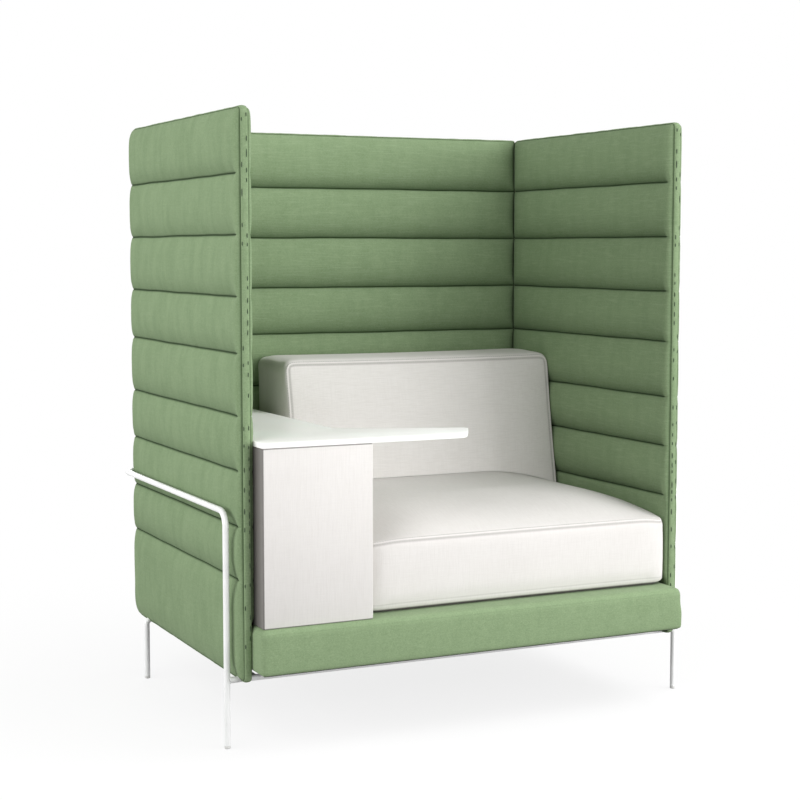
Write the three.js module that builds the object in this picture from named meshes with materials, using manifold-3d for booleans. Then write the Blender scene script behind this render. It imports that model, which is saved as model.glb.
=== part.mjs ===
// Acoustic high back lounge chair: three channelled screens round a seat, on a bent steel tube frame.
// Millimetres. X runs to the right seen from the front, Y to the back, Z up from the floor.
// The pieces are drawn with Y = 0 at the front edge of the side screens, and one group centres them.
import * as THREE from "three";
import { mergeVertices } from "three/addons/utils/BufferGeometryUtils.js";
import Module from "manifold-3d";

const wasm = await Module();
wasm.setup();

// Clearances
const seatGap = 0.3; // between a piece and what it seats on
const overrun = 40; // how far a cutting tool runs past what it cuts

// Screens, measured at their sewn creases
const screenTop = 1400;
const screenBottom = 155;
const screenDepth = 792;
const outerWidth = 1126;
const frontCorner = 11;
const rearCorner = 30;
const meetingCorner = 8;
const boardThickness = 12;
const creaseThickness = 1.7;
const channelCrown = 9;
const padRoll = 12;
const meetingRoll = 24;
const bandThickness = 2;
const bandCrown = 4.5;
const bandRound = 5;
// Channel heights from the top down, as shares of the screen's height
const channelShares = [0.1121, 0.106, 0.1064, 0.0983, 0.1089, 0.097, 0.0981, 0.0945, 0.1787];
// Rows drawn across one channel, and how full the pad is there
const channelRowShares = [0.13, 0.5, 0.87];
const padColumnShares = [0, 0.35, 1];
const puffShare = 0.6;

// Steel tube frame
const tubeRadius = 7;
const tubeWall = 1.5;
const tubeBend = 32;
const cornerBend = 50;
const rearFrameBend = 12;
const railHeight = 527;
const railOffset = 28;
const rearRailOffset = 20;
const crossHeight = 153;
const legSetback = 37.5;
const rearLegOffset = 4;
const rearLegInset = 86;
const cornerRun = 120;
const spigotLength = 90;
const footHeight = 7;
const footEdge = 1.2;
const plugLength = 16;

// Stand-offs between the rear rail and the back screen
const standoffX = 300;
const standoffRadius = 6;
const boardBite = 10;

// Screws and bolts
const screwRadius = 3;
const screwHeadRadius = 6;
const screwHeadThickness = 3.5;
const screwBite = 25;
const cornerScrewRadius = 2.2;
const cornerHeadRadius = 4.5;
const cornerHeadThickness = 2.5;
const cornerScrewLength = 45;
const cornerScrewShares = [0.2, 0.85];
const screenBoltShares = [0.2, 0.75];

// Seat base
const baseBottom = 177;
const baseTop = 278;
const baseOverhang = 64;
const padBesideBase = 1;
const baseRoll = 16;
const baseWall = 8;
const railWidth = 25;
const deckThickness = 12;
const clothThickness = 1;
const bushRadius = 8;
const bushSaddle = 2;
const bushInset = 90;

// Arm block and worktop
const blockWidth = 261.7;
const blockOverhang = 49.5;
const blockTop = 671.6;
const blockWall = 2.5;
const blockEdge = 3;
const blockBoard = 16;
const worktopThickness = 12;
const worktopEdge = 1;
const worktopCorner = 4;
const tongueReach = 290;
const tongueSlant = 56;
const tongueRootDepth = 214;
const tongueTipDepth = 100;
const tongueRootFillet = 36;
const tongueTipRadius = 14;

// Seat cushion
const seatFrontInset = 10;
const seatFrontSeam = 440;
const seatSideSeam = 462;
const seatCrown = 42;
const seatCorner = 26;
const seatDrawIn = 3;
const seatBulge = 3;
const seatRoll = 14;
const seatSeamInset = 3;
const seatBlockGap = 0.6;
const seatRiseShare = 0.32;

// Back cushion
const backLeftGap = 37; // to the arm block
const backRightGap = 11; // to the right screen
const backBottom = 470;
const backHeight = 342;
const backTopThickness = 200;
const backLean = 60;
const backCrown = 12;
const backCorner = 24;
const backDrawIn = 3;
const backBulge = 8;
const backRoll = 14;
const backSeamInset = 5;

// Shares that shape both cushions
const crownRingShares = [0.05, 0.14, 0.27, 0.42, 0.62, 0.82];
const domeShare = 0.55;
const rollStepShare = 0.3;

// Drawing resolution
const tubeSides = 16;
const roundSides = 10;
const bendSteps = 6;
const cornerSteps = 4;
const sideSteps = 6;
const bandSteps = 2;
// A round outline gets twice as many sides as its steps
const curveSteps = 3;
const tubeSteps = tubeSides / 2;

// Places that follow from the sizes above
const screenHeight = screenTop - screenBottom;
const halfStack = boardThickness / 2 + seatGap + creaseThickness;
const sideMidX = outerWidth / 2 - halfStack;
const backMidY = screenDepth - halfStack;
const innerFaceX = sideMidX - halfStack;
const innerFaceY = backMidY - halfStack;
const innerCrownX = innerFaceX - channelCrown;
const innerCrownY = innerFaceY - channelCrown;
const railX = outerWidth / 2 + railOffset;
const rearRailY = screenDepth + rearRailOffset;
const rearLegX = outerWidth / 2 + rearLegOffset;
const rearLegY = screenDepth - rearLegInset;
const jointX = railX - cornerRun;
const boreRadius = tubeRadius - tubeWall;
const plugRadius = boreRadius - seatGap;
const baseHalf = innerFaceX - padBesideBase;
const baseFront = -baseOverhang;
const baseRear = innerCrownY - seatGap;
const cavityHalf = baseHalf - baseWall;
const railHalf = cavityHalf - seatGap;
const railFront = baseFront + baseWall + seatGap;
const railRear = baseRear - baseWall - seatGap;
const deckTop = baseTop - baseWall - seatGap;
const railTop = deckTop - deckThickness - seatGap;
const sideRailMidX = railHalf - railWidth / 2;
const bushPlaces = [legSetback + bushInset, rearLegY - bushInset];
const blockLeft = -(innerCrownX - seatGap);
const blockRight = blockLeft + blockWidth;
const blockFront = -blockOverhang;
const blockRear = baseRear;
const blockBottom = baseTop + seatGap;
const worktopBottom = blockTop + seatGap;
const centreY = (rearRailY + tubeRadius - baseOverhang) / 2;

// Materials
function finish(color, roughness, metalness = 0) {
  return new THREE.MeshStandardMaterial({ color, roughness, metalness });
}

const whiteSteel = () => finish(0xf2f2f0, 0.45, 0.2);
const zincSteel = () => finish(0xb4b6b8, 0.4, 0.9);
const whitePlastic = () => finish(0xe9e9e6, 0.6);
const greenFelt = () => finish(0x7f9b70, 0.95);
const greenBand = () => finish(0x8ba67b, 0.95);
const paleFabric = () => finish(0xe6e3dc, 0.95);
const whiteLaminate = () => finish(0xf6f6f4, 0.4);
const plywood = () => finish(0xc9a878, 0.8);
const timber = () => finish(0xd2b384, 0.85);
const darkCloth = () => finish(0x2b2b2b, 0.95);

// Booleans
function toSolid(geometry) {
  const bare = geometry.clone();
  bare.deleteAttribute("normal");
  bare.deleteAttribute("uv");
  const merged = mergeVertices(bare, seatGap / 1000);
  return new wasm.Manifold(
    new wasm.Mesh({
      numProp: 3,
      vertProperties: new Float32Array(merged.attributes.position.array),
      triVerts: new Uint32Array(merged.index.array),
    }),
  );
}

function toGeometry(solid) {
  const mesh = solid.getMesh();
  const geometry = new THREE.BufferGeometry();
  geometry.setAttribute("position", new THREE.BufferAttribute(mesh.vertProperties, 3));
  geometry.setIndex(new THREE.BufferAttribute(mesh.triVerts, 1));
  geometry.computeVertexNormals();
  return geometry;
}

function cut(geometry, ...tools) {
  let solid = toSolid(geometry);
  for (const tool of tools) {
    solid = solid.subtract(toSolid(tool));
  }
  return toGeometry(solid);
}

function keep(geometry, tool) {
  return toGeometry(toSolid(geometry).intersect(toSolid(tool)));
}

// Placing: turns a form drawn along +Z onto another axis
function turn(geometry, axis) {
  const quarter = Math.PI / 2;
  if (axis === "+x") geometry.rotateY(quarter);
  if (axis === "-x") geometry.rotateY(-quarter);
  if (axis === "+y") geometry.rotateX(-quarter);
  if (axis === "-y") geometry.rotateX(quarter);
  return geometry;
}

// Maps a form drawn in (u, v, w) onto world axes: v stays up, u and w lie level
function stand(geometry, u, w, x, y, z) {
  const up = new THREE.Vector3(0, 0, 1);
  geometry.applyMatrix4(new THREE.Matrix4().makeBasis(u, up, w));
  return geometry.translate(x, y, z);
}

const right = new THREE.Vector3(1, 0, 0);
const left = new THREE.Vector3(-1, 0, 0);
const back = new THREE.Vector3(0, 1, 0);
const front = new THREE.Vector3(0, -1, 0);

function block(x0, x1, y0, y1, z0, z1) {
  const geometry = new THREE.BoxGeometry(x1 - x0, y1 - y0, z1 - z0);
  return geometry.translate((x0 + x1) / 2, (y0 + y1) / 2, (z0 + z1) / 2);
}

// A turned form: the profile is [radius, height] pairs that start and end on the axis
function turned(profile, sides = roundSides) {
  const points = profile.map(([radius, height]) => new THREE.Vector2(radius, height));
  return new THREE.LatheGeometry(points, sides).rotateX(Math.PI / 2);
}

function rod(radius, length, axis, x, y, z, sides = roundSides) {
  const profile = [[0, 0], [radius, 0], [radius, length], [0, length]];
  return turn(turned(profile, sides), axis).translate(x, y, z);
}

// A hole drilled right through: a rod that runs past both ends
function drill(radius, length, axis, x, y, z, sides = roundSides) {
  const hole = turned([[0, -overrun], [radius, -overrun], [radius, length], [0, length]], sides);
  return turn(hole, axis).translate(x, y, z);
}

// Outlines
function roundedRectangle(x0, y0, x1, y1, startRadius, endRadius = startRadius) {
  const shape = new THREE.Shape();
  const quarter = Math.PI / 2;
  shape.absarc(x1 - endRadius, y0 + endRadius, endRadius, -quarter, 0);
  shape.absarc(x1 - endRadius, y1 - endRadius, endRadius, 0, quarter);
  shape.absarc(x0 + startRadius, y1 - startRadius, startRadius, quarter, Math.PI);
  shape.absarc(x0 + startRadius, y0 + startRadius, startRadius, Math.PI, Math.PI + quarter);
  return shape;
}

// A closed outline whose corners [x, y, radius] are rounded, convex or concave
function filletedOutline(corners) {
  const shape = new THREE.Shape();
  corners.forEach(([x, y, radius], i) => {
    const corner = new THREE.Vector2(x, y);
    const toward = ([nextX, nextY]) => new THREE.Vector2(nextX, nextY).sub(corner).normalize();
    const before = toward(corners.at(i - 1));
    const after = toward(corners[(i + 1) % corners.length]);
    const halfAngle = Math.acos(before.dot(after)) / 2;
    const run = radius / Math.tan(halfAngle);
    const centre = before.clone().add(after).normalize();
    centre.multiplyScalar(radius / Math.sin(halfAngle)).add(corner);
    const start = before.multiplyScalar(run).add(corner).sub(centre);
    const end = after.multiplyScalar(run).add(corner).sub(centre);
    const clockwise = start.cross(end) < 0;
    shape.absarc(centre.x, centre.y, radius, start.angle(), end.angle(), clockwise);
  });
  return shape;
}

function slab(shape, thickness, steps = curveSteps) {
  const settings = { depth: thickness, bevelEnabled: false, curveSegments: steps };
  return new THREE.ExtrudeGeometry(shape, settings);
}

// Closed skin over loops of equal count, each loop anticlockwise seen from the last one
function skinLoops(loops) {
  const count = loops[0].length;
  const points = loops.flat();
  const middle = (loop) => {
    const sum = new THREE.Vector3();
    loop.forEach((point) => sum.add(point));
    return sum.divideScalar(count);
  };
  const startHub = points.push(middle(loops[0])) - 1;
  const endHub = points.push(middle(loops.at(-1))) - 1;
  const lastRow = (loops.length - 1) * count;
  const faces = [];
  for (let i = 0; i < count; i += 1) {
    const next = (i + 1) % count;
    faces.push(startHub, next, i);
    faces.push(endHub, lastRow + i, lastRow + next);
    for (let row = 0; row < lastRow; row += count) {
      faces.push(row + i, row + next, row + count + next);
      faces.push(row + i, row + count + next, row + count + i);
    }
  }
  const geometry = new THREE.BufferGeometry().setFromPoints(points);
  geometry.setIndex(faces);
  geometry.computeVertexNormals();
  return geometry;
}

// Rounded rectangle about the origin, its sides drawn in between the corners
function cushionOutline(width, depth, radius, drawIn) {
  const points = [];
  const sides = [
    [1, -1, 0],
    [1, 1, 1],
    [-1, 1, 2],
    [-1, -1, 3],
  ];
  for (const [signX, signY, turns] of sides) {
    const cornerX = signX * (width / 2 - radius);
    const cornerY = signY * (depth / 2 - radius);
    for (let i = 0; i <= cornerSteps; i += 1) {
      const angle = (turns - 1 + i / cornerSteps) * (Math.PI / 2);
      const x = cornerX + radius * Math.cos(angle);
      points.push(new THREE.Vector2(x, cornerY + radius * Math.sin(angle)));
    }
    const start = points.at(-1).clone();
    const inward = turns % 2 ? new THREE.Vector2(0, -signY) : new THREE.Vector2(-signX, 0);
    const along = new THREE.Vector2(inward.y, -inward.x);
    const run = (turns % 2 ? width : depth) - 2 * radius;
    for (let i = 1; i < sideSteps; i += 1) {
      const share = i / sideSteps;
      const point = start.clone().addScaledVector(along, run * share);
      points.push(point.addScaledVector(inward, drawIn * Math.sin(Math.PI * share)));
    }
  }
  return points;
}

// A box cushion: flat underneath, bulged round its sides, a seam at seamLevel and a crowned face above
function cushion(size, seamLevel) {
  const ring = (inset, height) => {
    const outline = cushionOutline(
      size.width - 2 * inset,
      size.depth - 2 * inset,
      Math.max(size.corner - inset, size.corner * rollStepShare),
      size.drawIn,
    );
    return outline.map((point) => new THREE.Vector3(point.x, point.y, height(point)));
  };
  const roll = size.roll;
  const loops = [
    ring(roll, () => 0),
    ring(roll * rollStepShare, () => roll * rollStepShare),
    ring(0, () => roll),
    ring(-size.bulge, (point) => seamLevel(point) / 2),
    ring(0, (point) => seamLevel(point) - roll),
    ring(size.seamInset, (point) => seamLevel(point)),
  ];
  const seam = loops.at(-1);
  for (const share of crownRingShares) {
    const dome = Math.sin((Math.PI / 2) * Math.min(1, share / domeShare));
    loops.push(
      seam.map((point) => {
        const inner = new THREE.Vector3(point.x * (1 - share), point.y * (1 - share), 0);
        return inner.setZ(seamLevel(inner) + size.crown * dome);
      }),
    );
  }
  return skinLoops(loops);
}

// Heights of the creases above the screen's bottom edge, lowest first
function creaseHeights(height) {
  const creases = [];
  let level = height;
  for (const share of channelShares.slice(0, -1)) {
    level -= share * height;
    creases.unshift(level);
  }
  return creases;
}

// Heights of a pad's rows: round its corners, along each crease and between creases
function padRows(height) {
  const corner = [];
  for (let i = 0; i <= cornerSteps; i += 1) {
    corner.push(rearCorner * (1 - Math.cos((i / cornerSteps) * (Math.PI / 2))));
  }
  const clear = rearCorner * (1 + rollStepShare);
  const rows = [];
  const levels = [0, ...creaseHeights(height), height];
  for (let i = 1; i < levels.length; i += 1) {
    const step = levels[i] - levels[i - 1];
    for (const share of channelRowShares) {
      const level = levels[i - 1] + step * share;
      if (level > clear && level < height - clear) rows.push(level);
    }
    if (i < levels.length - 1) rows.push(levels[i]);
  }
  return [...corner, ...rows, ...corner.map((level) => height - level).reverse()];
}

// How far a rounded corner draws a row in, at a height above the corner's foot
function cornerInset(radius, level) {
  return level < radius ? radius - Math.sqrt(radius ** 2 - (radius - level) ** 2) : 0;
}

// A pad's two ends: how round its corners are there, and over what run its crown rolls off
const frontEnd = { corner: frontCorner, roll: padRoll };
const rearEnd = { corner: rearCorner, roll: padRoll };
const meetingEnd = { corner: meetingCorner, roll: meetingRoll };
const plainEnd = { corner: meetingCorner, roll: padRoll };

// A channelled pad: u across, v up, w outward from its flat back, creased at every seam
function channelPad(width, height, start, end) {
  const creases = creaseHeights(height);
  const rows = padRows(height);
  const columns = 2 * padColumnShares.length + 1;
  const halfChannel = (channelShares[1] * height) / 2;
  const roll = (distance, run) => Math.sin((Math.PI / 2) * Math.min(1, distance / run));
  const points = [];
  for (const v of rows) {
    const toTip = Math.min(v, height - v);
    const from = cornerInset(start.corner, toTip);
    const to = width - cornerInset(end.corner, toTip);
    const places = [
      ...padColumnShares.map((share) => from + share * start.roll),
      (from + to) / 2,
      ...padColumnShares.map((share) => to - share * end.roll).reverse(),
    ];
    const toCrease = Math.min(...creases.map((crease) => Math.abs(v - crease)));
    const puff = roll(toCrease, halfChannel) ** puffShare;
    for (const u of places) {
      const rise = Math.min(roll(u - from, start.roll), roll(to - u, end.roll), roll(toTip, padRoll));
      points.push(new THREE.Vector3(u, v, creaseThickness + channelCrown * rise * puff));
    }
  }
  const at = (row, column) => row * columns + column;
  const lastRow = rows.length - 1;
  const lastColumn = columns - 1;
  const faces = [];
  for (let row = 0; row < lastRow; row += 1) {
    for (let column = 0; column < lastColumn; column += 1) {
      faces.push(at(row, column), at(row, column + 1), at(row + 1, column + 1));
      faces.push(at(row, column), at(row + 1, column + 1), at(row + 1, column));
    }
  }
  const rim = [];
  for (let column = 0; column <= lastColumn; column += 1) rim.push(at(0, column));
  for (let row = 1; row <= lastRow; row += 1) rim.push(at(row, lastColumn));
  for (let column = lastColumn - 1; column >= 0; column -= 1) rim.push(at(lastRow, column));
  for (let row = lastRow - 1; row >= 1; row -= 1) rim.push(at(row, 0));
  const behind = new Map();
  for (const index of rim) {
    behind.set(index, points.push(points[index].clone().setZ(0)) - 1);
  }
  rim.forEach((index, i) => {
    const next = rim[(i + 1) % rim.length];
    faces.push(behind.get(index), behind.get(next), next);
    faces.push(behind.get(index), next, index);
  });
  const backAt = (row, column) => behind.get(at(row, column));
  for (let column = 0; column < lastColumn; column += 1) {
    faces.push(backAt(1, 0), backAt(0, column + 1), backAt(0, column));
    faces.push(backAt(lastRow - 1, 0), backAt(lastRow, column), backAt(lastRow, column + 1));
  }
  faces.push(backAt(1, 0), backAt(1, lastColumn), backAt(0, lastColumn));
  faces.push(backAt(lastRow - 1, 0), backAt(lastRow, lastColumn), backAt(lastRow - 1, lastColumn));
  for (let row = 1; row < lastRow - 1; row += 1) {
    faces.push(backAt(row, 0), backAt(row + 1, lastColumn), backAt(row, lastColumn));
    faces.push(backAt(row, 0), backAt(row + 1, 0), backAt(row + 1, lastColumn));
  }
  const geometry = new THREE.BufferGeometry().setFromPoints(points);
  geometry.setIndex(faces);
  geometry.computeVertexNormals();
  return geometry;
}

// Screen outline in its own plane, drawn in by inset
function screenOutline(from, to, inset, startCorner, endCorner) {
  return roundedRectangle(
    from + inset,
    screenBottom + inset,
    to - inset,
    screenTop - inset,
    startCorner - inset,
    endCorner - inset,
  );
}

// Edge band: a crowned strip all round the core board
function edgeBand(from, to, startCorner, endCorner) {
  const crowned = new THREE.ExtrudeGeometry(screenOutline(from, to, 0, startCorner, endCorner), {
    depth: boardThickness - 2 * bandRound,
    bevelThickness: bandRound,
    bevelSize: bandCrown,
    bevelSegments: bandSteps,
    curveSegments: curveSteps,
  });
  const inside = screenOutline(from, to, bandThickness, startCorner, endCorner);
  const core = slab(inside, boardThickness + 2 * overrun);
  return cut(crowned.translate(0, 0, bandRound), core.translate(0, 0, -overrun));
}

const boardInset = bandThickness + seatGap;
const backHalf = sideMidX - boardThickness / 2 - seatGap;
const screenBoltZ = (baseBottom + railTop) / 2;
const screenBoltPlaces = screenBoltShares.map((share) => share * screenDepth);
const cornerScrewPlaces = cornerScrewShares.map((share) => screenBottom + share * screenHeight);
const slotHalf = tubeRadius + seatGap;

// Slot that drops a screen over a cross tube: round above, open below
function crossSlot(y) {
  return [
    rod(slotHalf, 2 * railX, "+x", -railX, y, crossHeight, tubeSides),
    block(-railX, railX, y - slotHalf, y + slotHalf, crossHeight - overrun, crossHeight),
  ];
}

// The pieces of a side screen; side is -1 on the left, 1 on the right
function sideScreen(side) {
  const start = side * sideMidX - boardThickness / 2;
  const inward = side > 0 ? "+x" : "-x";
  const boltHoles = (reach) =>
    screenBoltPlaces.map((y) =>
      drill(screwRadius + seatGap, overrun + reach, inward, side * (innerCrownX - overrun), y, screenBoltZ),
    );
  const toBoard = sideMidX - boardThickness / 2 - innerCrownX;
  const screwHoles = cornerScrewPlaces.flatMap((z) => [
    rod(cornerScrewRadius + seatGap, 2 * overrun, inward, side * (sideMidX - overrun), backMidY, z),
    rod(
      cornerHeadRadius + seatGap,
      overrun,
      inward,
      side * (sideMidX + boardThickness / 2 - cornerHeadThickness - 2 * seatGap),
      backMidY,
      z,
    ),
  ]);
  const slots = [...crossSlot(legSetback), ...crossSlot(rearLegY)];
  const outline = screenOutline(0, screenDepth, boardInset, frontCorner, rearCorner);
  const board = stand(slab(outline, boardThickness), back, right, start, 0, 0);
  const band = stand(edgeBand(0, screenDepth, frontCorner, rearCorner), back, right, start, 0, 0);
  const outer = stand(
    channelPad(screenDepth, screenHeight, side > 0 ? frontEnd : rearEnd, side > 0 ? rearEnd : frontEnd),
    side > 0 ? back : front,
    side > 0 ? right : left,
    side * (sideMidX + boardThickness / 2 + seatGap),
    side > 0 ? 0 : screenDepth,
    screenBottom,
  );
  const innerDepth = innerFaceY - seatGap;
  const inner = stand(
    channelPad(innerDepth, screenHeight, side > 0 ? meetingEnd : frontEnd, side > 0 ? frontEnd : meetingEnd),
    side > 0 ? front : back,
    side > 0 ? left : right,
    side * (sideMidX - boardThickness / 2 - seatGap),
    side > 0 ? innerDepth : 0,
    screenBottom,
  );
  const besideBase = block(
    -baseHalf - seatGap,
    baseHalf + seatGap,
    baseFront - overrun,
    baseRear + seatGap,
    baseBottom - seatGap,
    baseTop + seatGap,
  );
  const underScreen = (reach) =>
    block(
      -railX,
      railX,
      legSetback - reach,
      rearLegY + reach,
      screenBottom - overrun,
      screenBottom + overrun,
    );
  return {
    board: cut(board, ...boltHoles(toBoard + boardBite + seatGap), ...screwHoles, ...slots),
    edge_band: cut(band, underScreen(slotHalf)),
    bottom_band: keep(band, underScreen(-slotHalf)),
    outer_pad: cut(outer, ...slots),
    inner_pad: cut(inner, besideBase, ...boltHoles(toBoard), ...slots),
  };
}

// The back screen stands between the side screens
function backScreen() {
  const end = backMidY + boardThickness / 2;
  const outline = screenOutline(-backHalf, backHalf, boardInset, meetingCorner, meetingCorner);
  const screwHoles = cornerScrewPlaces.flatMap((z) => [
    rod(cornerScrewRadius + seatGap, cornerScrewLength + overrun, "-x", sideMidX + overrun, backMidY, z),
    rod(cornerScrewRadius + seatGap, cornerScrewLength + overrun, "+x", -sideMidX - overrun, backMidY, z),
  ]);
  const standoffHoles = (radius, reach) =>
    [-standoffX, standoffX].map((x) =>
      rod(radius + seatGap, overrun + reach, "-y", x, end + overrun, railHeight),
    );
  const board = stand(slab(outline, boardThickness), right, front, 0, end, 0);
  const band = stand(edgeBand(-backHalf, backHalf, meetingCorner, meetingCorner), right, front, 0, end, 0);
  const betweenSides = block(-backHalf, backHalf, 0, screenDepth + overrun, 0, screenTop + overrun);
  const innerHalf = innerFaceX - seatGap;
  const inner = stand(
    channelPad(2 * innerHalf, screenHeight, meetingEnd, meetingEnd),
    right,
    front,
    -innerHalf,
    backMidY - boardThickness / 2 - seatGap,
    screenBottom,
  );
  const outer = stand(
    channelPad(2 * backHalf, screenHeight, plainEnd, plainEnd),
    left,
    back,
    backHalf,
    end + seatGap,
    screenBottom,
  );
  return {
    board: cut(board, ...screwHoles, ...standoffHoles(screwRadius, boardBite + seatGap)),
    edge_band: cut(keep(band, betweenSides), ...screwHoles),
    outer_pad: cut(outer, ...standoffHoles(standoffRadius, 0)),
    inner_pad: inner,
  };
}

// Screw with a flat head, drawn from the head's face along +Z
function screw(radius, headRadius, headThickness, length) {
  return turned([
    [0, 0],
    [headRadius, 0],
    [headRadius, headThickness],
    [radius, headThickness],
    [radius, headThickness + length],
    [0, headThickness + length],
  ]);
}

function cornerScrew(side, z) {
  const geometry = screw(cornerScrewRadius, cornerHeadRadius, cornerHeadThickness, cornerScrewLength);
  const headX = sideMidX + boardThickness / 2 - seatGap;
  return turn(geometry, side > 0 ? "-x" : "+x").translate(side * headX, backMidY, z);
}

function screenBolt(side, y) {
  const length = sideMidX - boardThickness / 2 + boardBite - (railHalf - railWidth);
  const geometry = screw(screwRadius, screwHeadRadius, screwHeadThickness, length + seatGap);
  const headX = railHalf - railWidth - screwHeadThickness - seatGap;
  return turn(geometry, side > 0 ? "+x" : "-x").translate(side * headX, y, screenBoltZ);
}

// Straight stretches joined by round bends, with stations only where the tube's direction changes
class BentRoute extends THREE.Curve {
  constructor(corners, bends) {
    super();
    this.stations = [];
    corners.forEach((corner, i) => {
      const previous = corners[i - 1];
      const next = corners[i + 1];
      const bendRadius = bends[i - 1];
      if (!previous || !next) {
        const tangent = next ? next.clone().sub(corner) : corner.clone().sub(previous);
        this.stations.push([corner, tangent.normalize()]);
        return;
      }
      const arriving = corner.clone().sub(previous).normalize();
      const leaving = next.clone().sub(corner).normalize();
      const start = corner.clone().addScaledVector(arriving, -bendRadius);
      const centre = start.clone().addScaledVector(leaving, bendRadius);
      for (let step = 0; step <= bendSteps; step += 1) {
        const angle = (step / bendSteps) * (Math.PI / 2);
        const point = centre.clone();
        point.addScaledVector(leaving, -bendRadius * Math.cos(angle));
        point.addScaledVector(arriving, bendRadius * Math.sin(angle));
        const tangent = arriving.clone().multiplyScalar(Math.cos(angle));
        tangent.addScaledVector(leaving, Math.sin(angle));
        this.stations.push([point, tangent.normalize()]);
      }
    });
  }

  station(share, which) {
    const place = share * (this.stations.length - 1);
    const before = Math.floor(place);
    const after = Math.ceil(place);
    return this.stations[before][which].clone().lerp(this.stations[after][which], place - before);
  }

  getPoint(share, target = new THREE.Vector3()) {
    return target.copy(this.station(share, 0));
  }

  getPointAt(share, target = new THREE.Vector3()) {
    return this.getPoint(share, target);
  }

  getTangent(share, target = new THREE.Vector3()) {
    return target.copy(this.station(share, 1)).normalize();
  }

  getTangentAt(share, target = new THREE.Vector3()) {
    return this.getTangent(share, target);
  }
}

function ringShape(outer, inner) {
  const shape = new THREE.Shape().absarc(0, 0, outer, 0, 2 * Math.PI);
  shape.holes.push(new THREE.Path().absarc(0, 0, inner, 0, 2 * Math.PI));
  return shape;
}

function bentTube(corners, bends) {
  const route = new BentRoute(corners, bends);
  return new THREE.ExtrudeGeometry(ringShape(tubeRadius, boreRadius), {
    steps: route.stations.length - 1,
    curveSegments: tubeSteps,
    bevelEnabled: false,
    extrudePath: route,
  });
}

function straightTube(length, axis, x, y, z) {
  const geometry = new THREE.ExtrudeGeometry(ringShape(tubeRadius, boreRadius), {
    depth: length,
    curveSegments: tubeSteps,
    bevelEnabled: false,
  });
  return turn(geometry, axis).translate(x, y, z);
}

// What a tube's end is coped with, so that it saddles the tube that it is welded to
function copeAlong(axis, x, y, z, length) {
  return drill(tubeRadius + seatGap, length, axis, x, y, z, tubeSides);
}

// Front leg, side rail and rear corner in one bent tube
function hoopTube(side) {
  const x = side * railX;
  const corners = [
    new THREE.Vector3(x, legSetback, footHeight + seatGap),
    new THREE.Vector3(x, legSetback, railHeight),
    new THREE.Vector3(x, rearRailY, railHeight),
    new THREE.Vector3(side * jointX, rearRailY, railHeight),
  ];
  return bentTube(corners, [tubeBend, cornerBend]);
}

// Both rear legs and the cross tube between them in one bent tube
function rearFrameTube() {
  const corners = [
    new THREE.Vector3(-rearLegX, rearLegY, footHeight + seatGap),
    new THREE.Vector3(-rearLegX, rearLegY, crossHeight),
    new THREE.Vector3(rearLegX, rearLegY, crossHeight),
    new THREE.Vector3(rearLegX, rearLegY, footHeight + seatGap),
  ];
  return bentTube(corners, [rearFrameBend, rearFrameBend]);
}

function rearRailTube() {
  const half = jointX - seatGap;
  const rail = straightTube(2 * half, "+x", -half, rearRailY, railHeight);
  const holes = [-standoffX, standoffX].map((x) =>
    rod(screwRadius + seatGap, tubeRadius, "-y", x, rearRailY, railHeight),
  );
  return cut(rail, ...holes);
}

function railSpigot(side) {
  const start = side * jointX - spigotLength / 2;
  return rod(plugRadius, spigotLength, "+x", start, rearRailY, railHeight, tubeSides);
}

// The front cross tube, saddled at both ends onto the hoops' legs
function frontCrossTube() {
  const tube = straightTube(2 * railX, "+x", -railX, legSetback, crossHeight);
  const copes = [-railX, railX].map((x) => copeAlong("+z", x, legSetback, crossHeight, overrun));
  return cut(tube, ...copes);
}

// A fore-and-aft tube, saddled onto both cross tubes and drilled for the base screws
function sideTube(side) {
  const x = side * sideRailMidX;
  const tube = straightTube(rearLegY - legSetback, "+y", x, legSetback, crossHeight);
  return cut(
    tube,
    copeAlong("+x", x, legSetback, crossHeight, overrun),
    copeAlong("+x", x, rearLegY, crossHeight, overrun),
    ...bushPlaces.map((y) => drill(screwRadius + seatGap, overrun, "+z", x, y, crossHeight)),
  );
}

// Plastic plug pushed into a leg's open end, with a rounded tread
function foot(x, y) {
  const profile = [
    [0, 0],
    [tubeRadius - footEdge, 0],
    [tubeRadius, footEdge],
    [tubeRadius, footHeight],
    [plugRadius, footHeight],
    [plugRadius, footHeight + plugLength],
    [0, footHeight + plugLength],
  ];
  return turned(profile, tubeSides).translate(x, y, 0);
}

// Spacer between a side tube and the base, saddled onto the tube
function bush(side, y) {
  const x = side * sideRailMidX;
  const start = crossHeight + tubeRadius - bushSaddle;
  const spacer = rod(bushRadius, baseBottom - seatGap - start, "+z", x, y, start);
  return cut(
    spacer,
    copeAlong("+y", x, y, crossHeight, overrun),
    drill(screwRadius + seatGap, overrun, "+z", x, y, start),
  );
}

function frameScrew(side, y) {
  const start = crossHeight - tubeRadius - screwHeadThickness - seatGap;
  const length = baseBottom + screwBite - start - screwHeadThickness;
  const geometry = screw(screwRadius, screwHeadRadius, screwHeadThickness, length);
  return geometry.translate(side * sideRailMidX, y, start);
}

// Turned stand-off: a sleeve that saddles the rear rail and a stud that bites the back board
function standoff(x) {
  const boardFace = backMidY + boardThickness / 2;
  const sleeve = rearRailY - boardFace - seatGap;
  const profile = [
    [0, 0],
    [standoffRadius, 0],
    [standoffRadius, sleeve],
    [screwRadius, sleeve],
    [screwRadius, sleeve + boardBite],
    [0, sleeve + boardBite],
  ];
  const geometry = turn(turned(profile), "-y").translate(x, rearRailY, railHeight);
  return cut(geometry, copeAlong("+x", x, rearRailY, railHeight, overrun));
}

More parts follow.
